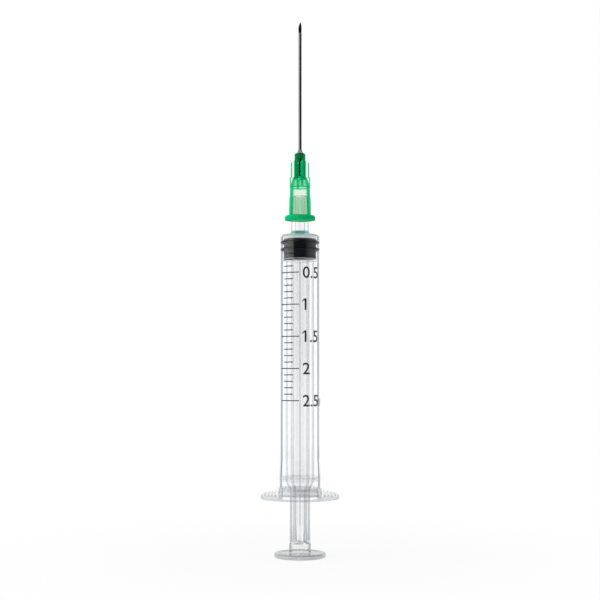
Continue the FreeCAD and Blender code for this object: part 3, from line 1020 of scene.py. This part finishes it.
@dataclass
class Barrel(Part):
    """Clear barrel: tube, shoulder, nozzle cone, finger flange and grip ridges."""

    bore_r: float = 4.5
    bore_fillet: float = 0.3
    wall: float = 0.47
    end_wall: float = 1.25
    nozzle_length: float = 9.55
    nozzle_tip_r: float = 1.96
    nozzle_tip_edge: float = 0.2
    nozzle_bore_r: float = 1.2
    nozzle_fillet: float = 0.9
    cone_slope: float = 0.03
    shoulder_fall: float = 0.4
    shoulder_edge: float = 0.6
    shoulder_land_r: float = 3.3
    shoulder_land_edge: float = 1.0
    flare: float = 0.2
    flare_start: float = 5.6
    flare_height: float = 4.2
    flare_blend: float = 12.0
    collar_rise: float = 0.15
    collar_draft: float = 0.13
    collar_height: float = 1.5
    collar_edge: float = 0.12
    lead_in_rise: float = 0.4
    lead_in_height: float = 2.2
    bead_underside: float = 4.3
    bead_height: float = 1.1
    bead_rise: float = 0.2
    bead_rounding: float = 0.5
    flange_r: float = 10.0
    flange_half_span: float = 9.6
    flange_thickness: float = 1.1
    flange_edge: float = 0.25
    ridge_count: int = 4
    ridge_pitch: float = 0.85
    ridge_r: float = 0.32
    ridge_steps: int = 24
    ridge_margin: float = 0.95

    node = "barrel"
    slot = "clear_barrel"
    body = Body.BARREL
    finish = CLEAR_BARREL

    def __post_init__(self) -> None:
        """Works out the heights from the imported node."""
        super().__post_init__()
        self.shoulder = self.high - self.nozzle_length
        self.bore_end = self.shoulder - self.end_wall
        self.outer_r = self.bore_r + self.wall
        self.flange_top = self.low + self.flange_thickness

    def outside(self) -> Mesh:
        """Returns the tube's outer form from collar to nozzle."""
        flared_r = self.outer_r + self.flare
        collar_r = flared_r + self.collar_rise
        collar_top = self.flange_top + self.collar_height
        flare_start = self.low + self.flare_start
        root_r = self.nozzle_tip_r + self.cone_slope * self.nozzle_length
        return turned([
            Corner(0, self.low),
            Corner(collar_r + self.collar_draft, self.low),
            Corner(collar_r, collar_top, self.collar_edge),
            Corner(flared_r, collar_top),
            Corner(flared_r, flare_start, self.flare_blend),
            Corner(self.outer_r, flare_start + self.flare_height, self.flare_blend),
            Corner(self.outer_r, self.shoulder - self.shoulder_fall, self.shoulder_edge),
            Corner(self.shoulder_land_r, self.shoulder, self.shoulder_land_edge),
            Corner(root_r, self.shoulder, self.nozzle_fillet),
            Corner(self.nozzle_tip_r, self.high, self.nozzle_tip_edge),
            Corner(0, self.high)])

    def inside(self) -> Mesh:
        """Returns the hollow: lead-in, bead, bore and nozzle channel."""
        bead = self.low + self.bead_underside
        below = self.low - OVERSHOOT
        above = self.high + OVERSHOOT
        return turned([
            Corner(0, below),
            Corner(self.bore_r + self.lead_in_rise, below),
            Corner(self.bore_r + self.lead_in_rise, self.low),
            Corner(self.bore_r, self.low + self.lead_in_height, self.bead_rounding),
            Corner(self.bore_r, bead, self.bead_rounding),
            Corner(self.bore_r - self.bead_rise, bead + self.bead_height / 2, self.bead_rounding),
            Corner(self.bore_r, bead + self.bead_height, self.bead_rounding),
            Corner(self.bore_r, self.bore_end, self.bore_fillet),
            Corner(self.nozzle_bore_r, self.bore_end),
            Corner(self.nozzle_bore_r, above),
            Corner(0, above)])

    def finger_flange(self) -> Mesh:
        """Returns the flat disc, cut off at both wings, with its edges rounded."""
        middle = self.low + self.flange_thickness / 2
        mesh = cylinder(self.flange_r, self.flange_thickness, Matrix.Translation((0, 0, middle)))
        for side in (-1, 1):
            cut = bmesh.ops.bisect_plane(mesh, geom=mesh.verts[:] + mesh.edges[:] + mesh.faces[:],
                                         plane_co=(side * self.flange_half_span, 0, 0),
                                         plane_no=(side, 0, 0), clear_outer=True)["geom_cut"]
            rim = [item for item in cut if isinstance(item, bmesh.types.BMEdge)]
            bmesh.ops.edgeloop_fill(mesh, edges=rim)
        edges = [edge for edge in mesh.edges
                 if abs(edge.verts[0].co.z - edge.verts[1].co.z) < SAME_POINT]
        bevel(mesh, edges, self.flange_edge, ARC_STEPS)
        return outwards(mesh)

    def ridge(self, x: float) -> Mesh:
        """Returns one round ridge along the wing, at a distance x from the axis."""
        half = math.sqrt((self.flange_r - self.ridge_margin) ** 2 - x ** 2)
        lie = Matrix.Translation((x, 0, self.flange_top)) @ UPRIGHT
        return cylinder(self.ridge_r, 2 * half, lie, self.ridge_steps)

    def solid(self) -> Piece:
        """Returns the barrel as one moulding."""
        outermost = self.flange_half_span - self.ridge_margin
        ridges = [self.ridge(side * (outermost - index * self.ridge_pitch))
                  for side in (-1, 1) for index in range(self.ridge_count)]
        return combined("clear_barrel", self.outside(), (Cut.ADD, self.finger_flange()),
                        *((Cut.ADD, ridge) for ridge in ridges), (Cut.REMOVE, self.inside()))


@dataclass
class PlungerRod(Part):
    """Clear rod: thumb disc, four ribs, head plate and snap head."""

    disc_r: float = 6.35
    disc_thickness: float = 1.15
    disc_edge: float = 0.35
    rim_width: float = 1.0
    dish: float = 0.15
    rib_count: int = 4
    rib_angle: float = 31.0
    rib_r: float = 3.9
    rib_thickness: float = 0.85
    rib_edge: float = 0.12
    rib_edge_steps: int = 2
    rib_step: float = 1.25
    rib_step_start: float = 16.1
    rib_step_end: float = 19.0
    rib_stations: int = 8
    foot_thickness: float = 1.35
    foot_top: float = 8.2
    boss_top: float = 3.35
    boss_rise: float = 0.6
    boss_edge: float = 0.1
    plate_r: float = 4.2
    plate_thickness: float = 0.62
    plate_edge: float = 0.12
    neck_r: float = 1.55
    neck_height: float = 0.95
    snap_overhang: float = 0.75
    snap_height: float = 1.9
    snap_taper: float = 0.8
    snap_edge: float = 0.2

    node = "plunger_rod"
    slot = "clear_rod"
    body = Body.ROD
    finish = CLEAR_ROD

    def __post_init__(self) -> None:
        """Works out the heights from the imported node."""
        super().__post_init__()
        self.neck_top = self.high - self.snap_height
        self.plate_top = self.neck_top - self.neck_height
        self.plate_underside = self.plate_top - self.plate_thickness
        self.boss_end = self.boss_top + self.boss_rise
        self.lower_r = self.rib_r - self.rib_step

    def reach(self, height: float) -> float:
        """Returns how far the ribs reach out at a height, with a soft step between two sizes."""
        share = (height - self.rib_step_start) / (self.rib_step_end - self.rib_step_start)
        share = min(1.0, max(0.0, share))
        return self.lower_r + self.rib_step * share * share * (3 - 2 * share)

    def thickness(self, height: float) -> float:
        """Returns how thick the ribs are at a height."""
        share = min(1.0, max(0.0, height / self.foot_top))
        return self.foot_thickness + (self.rib_thickness - self.foot_thickness) * share

    def section(self, height: float) -> List[Vector]:
        """Returns the corners of the ribs at a height."""
        half = self.thickness(height) / 2
        reach = self.reach(height)
        rib = (Vector((reach, -half, height)), Vector((reach, half, height)),
               Vector((half, half, height)))
        start = math.radians(self.rib_angle)
        turns = (Matrix.Rotation(index * FULL_TURN / self.rib_count + start, 3, "Z")
                 for index in range(self.rib_count))
        return [turn @ point for turn in turns for point in rib]

    def ribs(self) -> Mesh:
        """Returns the ribs, extruded from station to station."""
        rise = self.rib_step_end - self.rib_step_start
        step = [self.rib_step_start + rise * index / self.rib_stations
                for index in range(self.rib_stations + 1)]
        stations = [self.foot_top, *step, self.plate_underside + self.plate_thickness / 2]
        mesh = bmesh.new()
        top = mesh.faces.new([mesh.verts.new(point)
                              for point in self.section(self.disc_thickness / 2)])
        for height in stations:
            top = self.lifted(mesh, top, height)
        upright = [edge for edge in mesh.edges
                   if abs(edge.verts[0].co.z - edge.verts[1].co.z) > SAME_POINT]
        bevel(mesh, upright, self.rib_edge, self.rib_edge_steps)
        return outwards(mesh)

    def lifted(self, mesh: Mesh, top: bmesh.types.BMFace, height: float) -> bmesh.types.BMFace:
        """Extrudes the top face to a new height and returns the new top."""
        grown = bmesh.ops.extrude_face_region(mesh, geom=[top])["geom"]
        bmesh.ops.delete(mesh, geom=[top], context="FACES_ONLY")
        face = next(item for item in grown if isinstance(item, bmesh.types.BMFace))
        for vert, point in zip(face.verts, self.section(height)):
            vert.co = point
        return face

    def disc(self) -> Mesh:
        """Returns the thumb disc with its raised rim."""
        floor = self.disc_thickness - self.dish
        dish_r = self.disc_r - self.rim_width
        return turned([
            Corner(0, 0),
            Corner(self.disc_r, 0, self.disc_edge),
            Corner(self.disc_r, self.disc_thickness, self.disc_edge),
            Corner(dish_r, self.disc_thickness),
            Corner(dish_r - self.dish, floor),
            Corner(0, floor)])

    def boss(self) -> Mesh:
        """Returns the low cone that joins the ribs to the disc."""
        root = self.disc_thickness / 3
        return turned([
            Corner(0, root),
            Corner(self.lower_r, root),
            Corner(self.lower_r, self.boss_top, self.boss_edge),
            Corner(0, self.boss_end)])

    def head(self) -> Mesh:
        """Returns the head plate, the neck and the snap head."""
        snap_r = self.neck_r + self.snap_overhang
        return turned([
            Corner(0, self.plate_underside),
            Corner(self.plate_r, self.plate_underside, self.plate_edge),
            Corner(self.plate_r, self.plate_top, self.plate_edge),
            Corner(self.neck_r, self.plate_top),
            Corner(self.neck_r, self.neck_top),
            Corner(snap_r, self.neck_top, self.snap_edge),
            Corner(snap_r - self.snap_taper, self.high, self.snap_edge),
            Corner(0, self.high)])

    def solid(self) -> Piece:
        """Returns the rod as one moulding."""
        return combined("clear_rod", self.disc(), (Cut.ADD, self.boss()), (Cut.ADD, self.ribs()),
                        (Cut.ADD, self.head()))


@dataclass
class Stopper(Part):
    """Black rubber stopper with two sealing rings, pressed against the bore."""

    body_r: float = 4.06
    top_edge: float = 0.15
    ring_r: float = 4.49
    lip_r: float = 4.9
    lip: float = 0.34
    lip_edge: float = 0.06
    top_drop: float = 0.7
    low_drop: float = 2.5
    land: float = 0.45
    foot: float = 0.4
    foot_fillet: float = 0.12
    skirt_height: float = 1.0
    skirt_flare: float = 0.07
    neck_r: float = 1.61
    snap_r: float = 2.36
    neck_height: float = 0.84
    cavity_top: float = 2.86
    snap_taper: float = 0.8

    node = "stopper"
    slot = "black_rubber"
    body = Body.STOPPER
    finish = BLACK_RUBBER

    def ring(self, centre: float) -> List[Corner]:
        """Returns one sealing ring, from its lower foot to its upper one."""
        half = self.land / 2
        lip = self.lip / 2
        return [Corner(self.body_r, centre - half - self.foot, self.foot_fillet),
                Corner(self.ring_r, centre - half),
                Corner(self.ring_r, centre - lip),
                Corner(self.lip_r, centre - lip, self.lip_edge),
                Corner(self.lip_r, centre + lip, self.lip_edge),
                Corner(self.ring_r, centre + lip),
                Corner(self.ring_r, centre + half),
                Corner(self.body_r, centre + half + self.foot, self.foot_fillet)]

    def solid(self) -> Piece:
        """Returns the stopper, hollow over the rod's snap head."""
        low_ring = self.ring(self.high - self.low_drop)
        top_ring = self.ring(self.high - self.top_drop)[:-1]
        return shown("rubber_stopper", turned([
            Corner(self.neck_r, self.low),
            Corner(self.body_r + self.skirt_flare, self.low),
            Corner(self.body_r, self.low + self.skirt_height),
            *low_ring, *top_ring,
            Corner(self.body_r, self.high, self.top_edge),
            Corner(0, self.high),
            Corner(0, self.low + self.cavity_top),
            Corner(self.snap_r - self.snap_taper, self.low + self.cavity_top),
            Corner(self.snap_r, self.low + self.neck_height),
            Corner(self.neck_r, self.low + self.neck_height)]))


@dataclass
class NeedleHub(Part):
    """Green hub: socket, flange, ogive and nose, with four stepped fins."""

    flange_r: float = 3.85
    flange_thickness: float = 1.1
    flange_foot_edge: float = 0.08
    flange_edge: float = 0.45
    flange_fillet: float = 0.3
    socket_mouth_r: float = 2.1765
    socket_slope: float = 0.03
    socket_depth: float = 8.3
    cavity_step: float = 0.08
    wall: float = 0.47
    draft: float = 0.18
    ogive_corner: float = 9.7
    ogive_rounding: float = 3.9
    nose_start: float = 10.9
    nose_r: float = 1.36
    nose_edge: float = 0.3
    dome_corner: float = 9.3
    dome_rounding: float = 1.5
    dome_top: float = 10.3
    dome_top_r: float = 0.5
    needle_seat: float = 11.2
    needle_hole_r: float = 0.43
    channel_r: float = 0.255
    well_r: float = 0.8
    well_depth: float = 1.2
    fin_count: int = 4
    fin_angle: float = 12.0
    fin_thickness: float = 0.65
    fin_edge: float = 0.08
    fin_steps: int = 4
    foot_rise: float = 0.14
    foot_top: float = 5.8
    mid_start: float = 8.1
    mid_rise: float = 0.09
    mid_top: float = 10.85
    blade_rise: float = 0.94
    fin_top: float = 15.05
    fin_top_rounding: float = 0.8
    slope: float = 0.12

    node = "needle_hub"
    slot = "green_plastic"
    body = Body.NEEDLE
    finish = GREEN_PLASTIC

    def __post_init__(self) -> None:
        """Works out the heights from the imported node."""
        super().__post_init__()
        self.body_r = self.socket_mouth_r + self.wall
        self.body_top_r = self.body_r - self.draft

    def outside(self) -> Mesh:
        """Returns the hub's outer form without its fins."""
        flange_top = self.low + self.flange_thickness
        return turned([
            Corner(0, self.low),
            Corner(self.flange_r, self.low, self.flange_foot_edge),
            Corner(self.flange_r, flange_top, self.flange_edge),
            Corner(self.body_r, flange_top, self.flange_fillet),
            Corner(self.body_top_r, self.low + self.ogive_corner, self.ogive_rounding),
            Corner(self.nose_r, self.low + self.nose_start),
            Corner(self.nose_r, self.high, self.nose_edge),
            Corner(0, self.high)], FINE_ARC_STEPS)

    def inside(self) -> Mesh:
        """Returns the hollow: socket, dome, needle hole and adhesive well."""
        socket_end = self.low + self.socket_depth
        socket_end_r = self.socket_mouth_r - self.socket_slope * self.socket_depth
        cavity_r = socket_end_r - self.cavity_step
        dome_top = self.low + self.dome_top
        seat = self.low + self.needle_seat
        well = self.high - self.well_depth
        below = self.low - OVERSHOOT
        above = self.high + OVERSHOOT
        return turned([
            Corner(0, below),
            Corner(self.socket_mouth_r, below),
            Corner(self.socket_mouth_r, self.low),
            Corner(socket_end_r, socket_end),
            Corner(cavity_r, socket_end),
            Corner(cavity_r, self.low + self.dome_corner, self.dome_rounding),
            Corner(self.dome_top_r, dome_top),
            Corner(self.channel_r, dome_top),
            Corner(self.channel_r, seat),
            Corner(self.needle_hole_r, seat),
            Corner(self.needle_hole_r, well),
            Corner(self.well_r, well),
            Corner(self.well_r, above),
            Corner(0, above)], FINE_ARC_STEPS)

    def fin(self, turn: float) -> Mesh:
        """Returns one fin: foot on the body, step on the ogive, blade beside the nose."""
        foot_r = self.body_r + self.foot_rise
        foot_top_r = foot_r - self.draft * self.foot_top / self.ogive_corner
        mid_r = self.body_top_r + self.mid_rise
        blade_r = self.nose_r + self.blade_rise
        root_r = self.nose_r / 2
        foot_bottom = self.low + self.flange_thickness / 2
        return slab([
            Corner(root_r, foot_bottom),
            Corner(foot_r, foot_bottom),
            Corner(foot_top_r, self.low + self.foot_top, self.fin_edge),
            Corner(self.body_top_r, self.low + self.foot_top + self.slope),
            Corner(self.body_top_r, self.low + self.mid_start),
            Corner(mid_r, self.low + self.mid_start + self.slope, self.fin_edge),
            Corner(mid_r, self.low + self.mid_top, self.fin_edge),
            Corner(blade_r, self.low + self.mid_top + self.slope),
            Corner(blade_r, self.low + self.fin_top, self.fin_top_rounding),
            Corner(root_r, self.low + self.fin_top)], self.fin_thickness, turn, self.fin_steps)

    def solid(self) -> Piece:
        """Returns the hub as one moulding."""
        fins = [self.fin(self.fin_angle + index * DEGREES_IN_TURN / self.fin_count)
                for index in range(self.fin_count)]
        return combined("green_hub", self.outside(), *((Cut.ADD, fin) for fin in fins),
                        (Cut.REMOVE, self.inside()))


@dataclass
class Cannula(Part):
    """Steel tube with a long bevel and two lancet faces."""

    outer_r: float = 0.4
    bore_r: float = 0.255
    bevel_angle: float = 13.2
    lancet_angle: float = 19.0
    lancet_turn: float = 38.0
    facing: float = 260.0
    block_size: float = 20.0

    node = "cannula"
    slot = "needle_steel"
    body = Body.NEEDLE
    finish = NEEDLE_STEEL

    def block(self, point: Vector, facing: float, angle: float) -> Mesh:
        """Returns what the grinder takes off: a block with one face through the point."""
        across = math.radians(facing)
        tilt = math.radians(angle)
        side = Vector((math.cos(across), math.sin(across), 0))
        normal = side * math.cos(tilt) + AXIS * math.sin(tilt)
        mesh = bmesh.new()
        lie = AXIS.rotation_difference(normal).to_matrix().to_4x4()
        bmesh.ops.create_cube(mesh, size=self.block_size, matrix=(
            Matrix.Translation(point) @ lie @ Matrix.Translation((0, 0, self.block_size / 2))))
        return mesh

    def solid(self) -> Piece:
        """Returns the ground tube."""
        tube = turned([Corner(self.bore_r, self.low), Corner(self.outer_r, self.low),
                       Corner(self.outer_r, self.high), Corner(self.bore_r, self.high)])
        across = math.radians(self.facing)
        tip = Vector((-self.outer_r * math.cos(across), -self.outer_r * math.sin(across),
                      self.high))
        return combined(
            "steel_needle", tube, (Cut.REMOVE, self.block(tip, self.facing, self.bevel_angle)),
            *((Cut.REMOVE, self.block(tip, self.facing + turn, self.lancet_angle))
              for turn in (-self.lancet_turn, self.lancet_turn)))


@dataclass
class Adhesive(Part):
    """Cured cone of adhesive between the nose and the needle."""

    inner_r: float = 0.41
    plug_r: float = 0.79
    base_r: float = 1.05
    rise: float = 1.1
    gap: float = 0.01
    lip: float = 0.04
    waist_r: float = 0.62
    waist_rise: float = 0.42
    waist_rounding: float = 0.6

    node = "adhesive"
    slot = "glue"
    body = Body.NEEDLE
    finish = GLUE

    def solid(self) -> Piece:
        """Returns the plug and its cone."""
        face = self.high - self.rise + self.gap
        return shown("glue_cone", turned([
            Corner(self.inner_r, self.low),
            Corner(self.plug_r, self.low),
            Corner(self.plug_r, face),
            Corner(self.base_r, face),
            Corner(self.waist_r, face + self.waist_rise, self.waist_rounding),
            Corner(self.inner_r + self.lip, self.high),
            Corner(self.inner_r, self.high)]))


@dataclass
class Scale:
    """Printed scale: a line for each tenth of a millilitre and a number at each half."""

    surface_r: float = 4.97
    gap: float = 0.004
    ink: float = 0.015
    zero: float = 78.33
    per_ml: float = 15.855
    full: float = 2.5
    divisions: int = 10
    line: float = 0.24
    short_angles: Pair = (-52.5, -20.5)
    long_angles: Pair = (-68.0, -3.0)
    digit_height: float = 2.9
    digit_start: float = 8.0
    cap_share: float = 0.7
    curve_steps: int = 4
    strip: float = 0.25
    boldness: float = 0.035
    stem: float = 0.34
    flag: float = 0.62
    flag_drop: float = 0.55
    flag_root: float = 1.3

    def wrapped(self, mesh: Mesh) -> Mesh:
        """Bends a flat print in the XZ plane round the barrel and gives the ink its body."""
        low = min(vert.co.x for vert in mesh.verts)
        high = max(vert.co.x for vert in mesh.verts)
        for index in range(1, int((high - low) / self.strip)):
            bmesh.ops.bisect_plane(mesh, geom=mesh.verts[:] + mesh.edges[:] + mesh.faces[:],
                                   plane_co=(low + index * self.strip, 0, 0),
                                   plane_no=(1, 0, 0))
        bmesh.ops.solidify(mesh, geom=mesh.faces[:], thickness=self.ink)
        inner = min(vert.co.y for vert in mesh.verts)
        for vert in mesh.verts:
            angle = vert.co.x / self.surface_r
            radius = self.surface_r + self.gap + abs(vert.co.y - inner)
            vert.co = Vector((radius * math.sin(angle), -radius * math.cos(angle), vert.co.z))
        return outwards(mesh)

    def arc(self, angle: float) -> float:
        """Returns the length along the surface for an angle in degrees."""
        return math.radians(angle) * self.surface_r

    def height(self, volume: float) -> float:
        """Returns the height of a volume's line."""
        return self.zero - volume * self.per_ml

    def lines(self) -> Mesh:
        """Returns every line of the scale, flat."""
        mesh = bmesh.new()
        for tenth in range(int(self.full * self.divisions) + 1):
            is_long = tenth % (self.divisions // 2) == 0
            start, end = map(self.arc, self.long_angles if is_long else self.short_angles)
            size = Matrix.Diagonal((end - start, self.line, 1, 1))
            spot = ((start + end) / 2, 0, self.height(tenth / self.divisions))
            bmesh.ops.create_grid(mesh, x_segments=1, y_segments=1, size=1 / 2,
                                  matrix=Matrix.Translation(spot) @ UPRIGHT @ size)
        return mesh

    def letters(self, text: str) -> Mesh:
        """Returns the outline of a text as a flat mesh in its own size."""
        curve = bpy.data.curves.new("number", "FONT")
        curve.body = text
        curve.size = self.digit_height / self.cap_share
        curve.resolution_u = self.curve_steps
        curve.offset = self.boldness
        writer = bpy.data.objects.new("number", curve)
        bpy.context.scene.collection.objects.link(writer)
        bpy.context.view_layer.update()
        data = bpy.data.meshes.new_from_object(
            writer.evaluated_get(bpy.context.evaluated_depsgraph_get()))
        mesh = bmesh.new()
        mesh.from_mesh(data)
        bpy.data.objects.remove(writer)
        bpy.data.curves.remove(curve)
        bpy.data.meshes.remove(data)
        bmesh.ops.remove_doubles(mesh, verts=mesh.verts[:], dist=SAME_POINT)
        return mesh

    def words(self, text: str, volume: float) -> Mesh:
        """Returns a number, flat, centred on its line."""
        mesh = self.letters(text)
        left = min(vert.co.x for vert in mesh.verts)
        tall = max(vert.co.y for vert in mesh.verts if vert.co.x < left + self.digit_height)
        low = min(vert.co.y for vert in mesh.verts)
        ratio = self.digit_height / (tall - low)
        if text.startswith("1"):
            self.add_flag(mesh, left, tall, 1 / ratio)
            left -= self.flag / ratio - self.stem / 2
        move = (Matrix.Translation((self.arc(self.digit_start), 0, self.height(volume)))
                @ UPRIGHT @ Matrix.Scale(ratio, 4)
                @ Matrix.Translation((-left, -(tall + low) / 2, 0)))
        bmesh.ops.transform(mesh, matrix=move, verts=mesh.verts[:])
        return mesh

    def add_flag(self, mesh: Mesh, left: float, top: float, unit: float) -> None:
        """Gives a flat 1 its flag.

        Args:
            mesh: The flat number.
            left: Left side of the stem.
            top: Top of the stem.
            unit: A millimetre in the mesh's own size.
        """
        corners = ((left, top), (left - self.flag * unit, top - self.flag_drop * unit),
                   (left - self.flag * unit, top - (self.flag_drop + self.stem) * unit),
                   (left, top - self.stem * self.flag_root * unit))
        mesh.faces.new([mesh.verts.new((x, y, 0)) for x, y in reversed(corners)])

    def build(self) -> None:
        """Prints the lines and the numbers as separate pieces of ink."""
        pieces = [finished(shown("scale_lines", self.wrapped(self.lines())))]
        for half in range(1, int(self.full * 2) + 1):
            volume = half / 2
            text = f"{volume:g}" + (" ml" if volume == self.full else "")
            mesh = self.wrapped(self.words(text, volume))
            pieces.append(finished(shown(f"scale_number_{half}", mesh)))
        for piece in pieces:
            place(piece, SCALE_INK, Body.BARREL)


@dataclass(frozen=True)
class Softbox:
    """A rectangular lamp that faces the middle of the syringe."""

    name: str
    spot: Tuple[float, float, float]
    size: Tuple[float, float]
    radiance: float

    def build(self, middle: float) -> None:
        """Hangs the lamp so that it faces a height on the axis."""
        data = bpy.data.lights.new(self.name, "AREA")
        data.shape = "RECTANGLE"
        data.size, data.size_y = (side * MM for side in self.size)
        data.energy = self.radiance * math.pi * data.size * data.size_y
        lamp = bpy.data.objects.new(self.name, data)
        spot = Vector(self.spot)
        lamp.location = spot * MM
        lamp.rotation_euler = (AXIS * middle - spot).to_track_quat("-Z", "Y").to_euler()
        bpy.context.scene.collection.objects.link(lamp)


@dataclass
class Studio:
    """White studio: backdrop, floor, softboxes and the camera of the photograph."""

    camera_y: float = -313.0
    camera_z: float = 44.7
    level: float = 90.0
    pitch: float = 3.49
    lens: float = 75.0
    sensor: float = 36.0
    clip_start: float = 10.0
    bounces: int = 32
    middle: float = 60.0
    softboxes: Tuple[Softbox, ...] = (
        Softbox("left_softbox", (-420, -150, 130), (560, 620), 1.5),
        Softbox("top_softbox", (60, -60, 480), (400, 400), 0.9),
        Softbox("right_softbox", (330, 300, 130), (400, 560), 0.7))
    white: Colour = colour(1, 1, 1)
    dark: float = 0.04
    behind_share: Pair = (0.75, 0.66)
    behind_step: Pair = (-0.1, 0.6)
    above_step: Pair = (0.25, 0.9)
    above_glow: float = 0.8
    beside_step: Pair = (0.45, 1.0)
    beside_top: Pair = (0.115, 0.15)
    beside_glow: float = 0.8
    floor_size: float = 40000.0
    paint: Colour = colour(0.85, 0.85, 0.85)
    shade: float = 0.2
    shade_step: Pair = (15.0, 110.0)

    def camera(self) -> None:
        """Puts the camera where the photograph was taken from."""
        data = bpy.data.cameras.new("camera")
        data.lens = self.lens
        data.sensor_width = self.sensor
        data.clip_start = self.clip_start * MM
        camera = bpy.data.objects.new("camera", data)
        camera.location = (0, self.camera_y * MM, self.camera_z * MM)
        camera.rotation_euler = (math.radians(self.level + self.pitch), 0, 0)
        bpy.context.scene.collection.objects.link(camera)
        bpy.context.scene.camera = camera

    def world(self) -> None:
        """White for the camera and through clear plastic, a darker room in reflections."""
        world = bpy.data.worlds.new("studio")
        bpy.context.scene.world = world
        shader = Shader(world)
        path = shader.node("ShaderNodeLightPath")
        parts = shader.parts(shader.node("ShaderNodeTexCoord")["Generated"])
        along_y, along_x = self.behind_share
        behind = shader.between(parts["Y"] * along_y - parts["X"] * along_x, *self.behind_step)
        above = shader.between(parts["Z"], *self.above_step)
        beside = (shader.between(parts["X"], *self.beside_step, 0.0, self.beside_glow)
                  * shader.between(parts["Z"], *self.beside_top, 1.0, 0.0))
        lit = behind.larger(above * self.above_glow).larger(beside)
        room = self.dark + (1 - self.dark) * lit
        clear = path["Is Camera Ray"].larger(path["Is Transmission Ray"])
        back = shader.node("ShaderNodeBackground", {
            "Color": self.white, "Strength": room + (1 - room) * clear})["Background"]
        shader.output(back, "ShaderNodeOutputWorld")

    def floor(self) -> None:
        """Adds a white floor that keeps a light shadow near the syringe."""
        mesh = bmesh.new()
        bmesh.ops.create_grid(mesh, x_segments=1, y_segments=1, size=self.floor_size / 2)
        floor = shown("floor", mesh)
        made = bpy.data.materials.new("floor_white")
        shader = Shader(made)
        path = shader.node("ShaderNodeLightPath")
        seen = path["Is Camera Ray"].larger(path["Is Transmission Ray"])
        seen = seen.larger(path["Is Glossy Ray"])
        away = shader.vector("LENGTH", shader.where())["Value"]
        share = shader.rise(away, *self.shade_step, 1 - self.shade, 1.0)
        white = shader.node("ShaderNodeEmission", {
            "Color": self.white, "Strength": 1.0})["Emission"]
        shader.output(shader.mixed(seen * share, shader.diffuse(self.paint), white))
        floor.data.materials.append(made)

    def build(self) -> None:
        """Sets up the whole studio."""
        scene = bpy.context.scene
        scene.view_settings.view_transform = "Standard"
        scene.cycles.max_bounces = self.bounces
        scene.cycles.transmission_bounces = self.bounces
        scene.cycles.glossy_bounces = self.bounces
        scene.cycles.transparent_max_bounces = self.bounces
        self.camera()
        self.world()
        self.floor()
        for softbox in self.softboxes:
            softbox.build(self.middle)


def main() -> None:
    """Builds the studio and every piece."""
    logging.basicConfig(level=logging.INFO, format="%(message)s")
    for work in (Studio, Barrel, PlungerRod, Stopper, NeedleHub, Cannula, Adhesive, Scale):
        work().build()


if __name__ == "__main__":
    main()
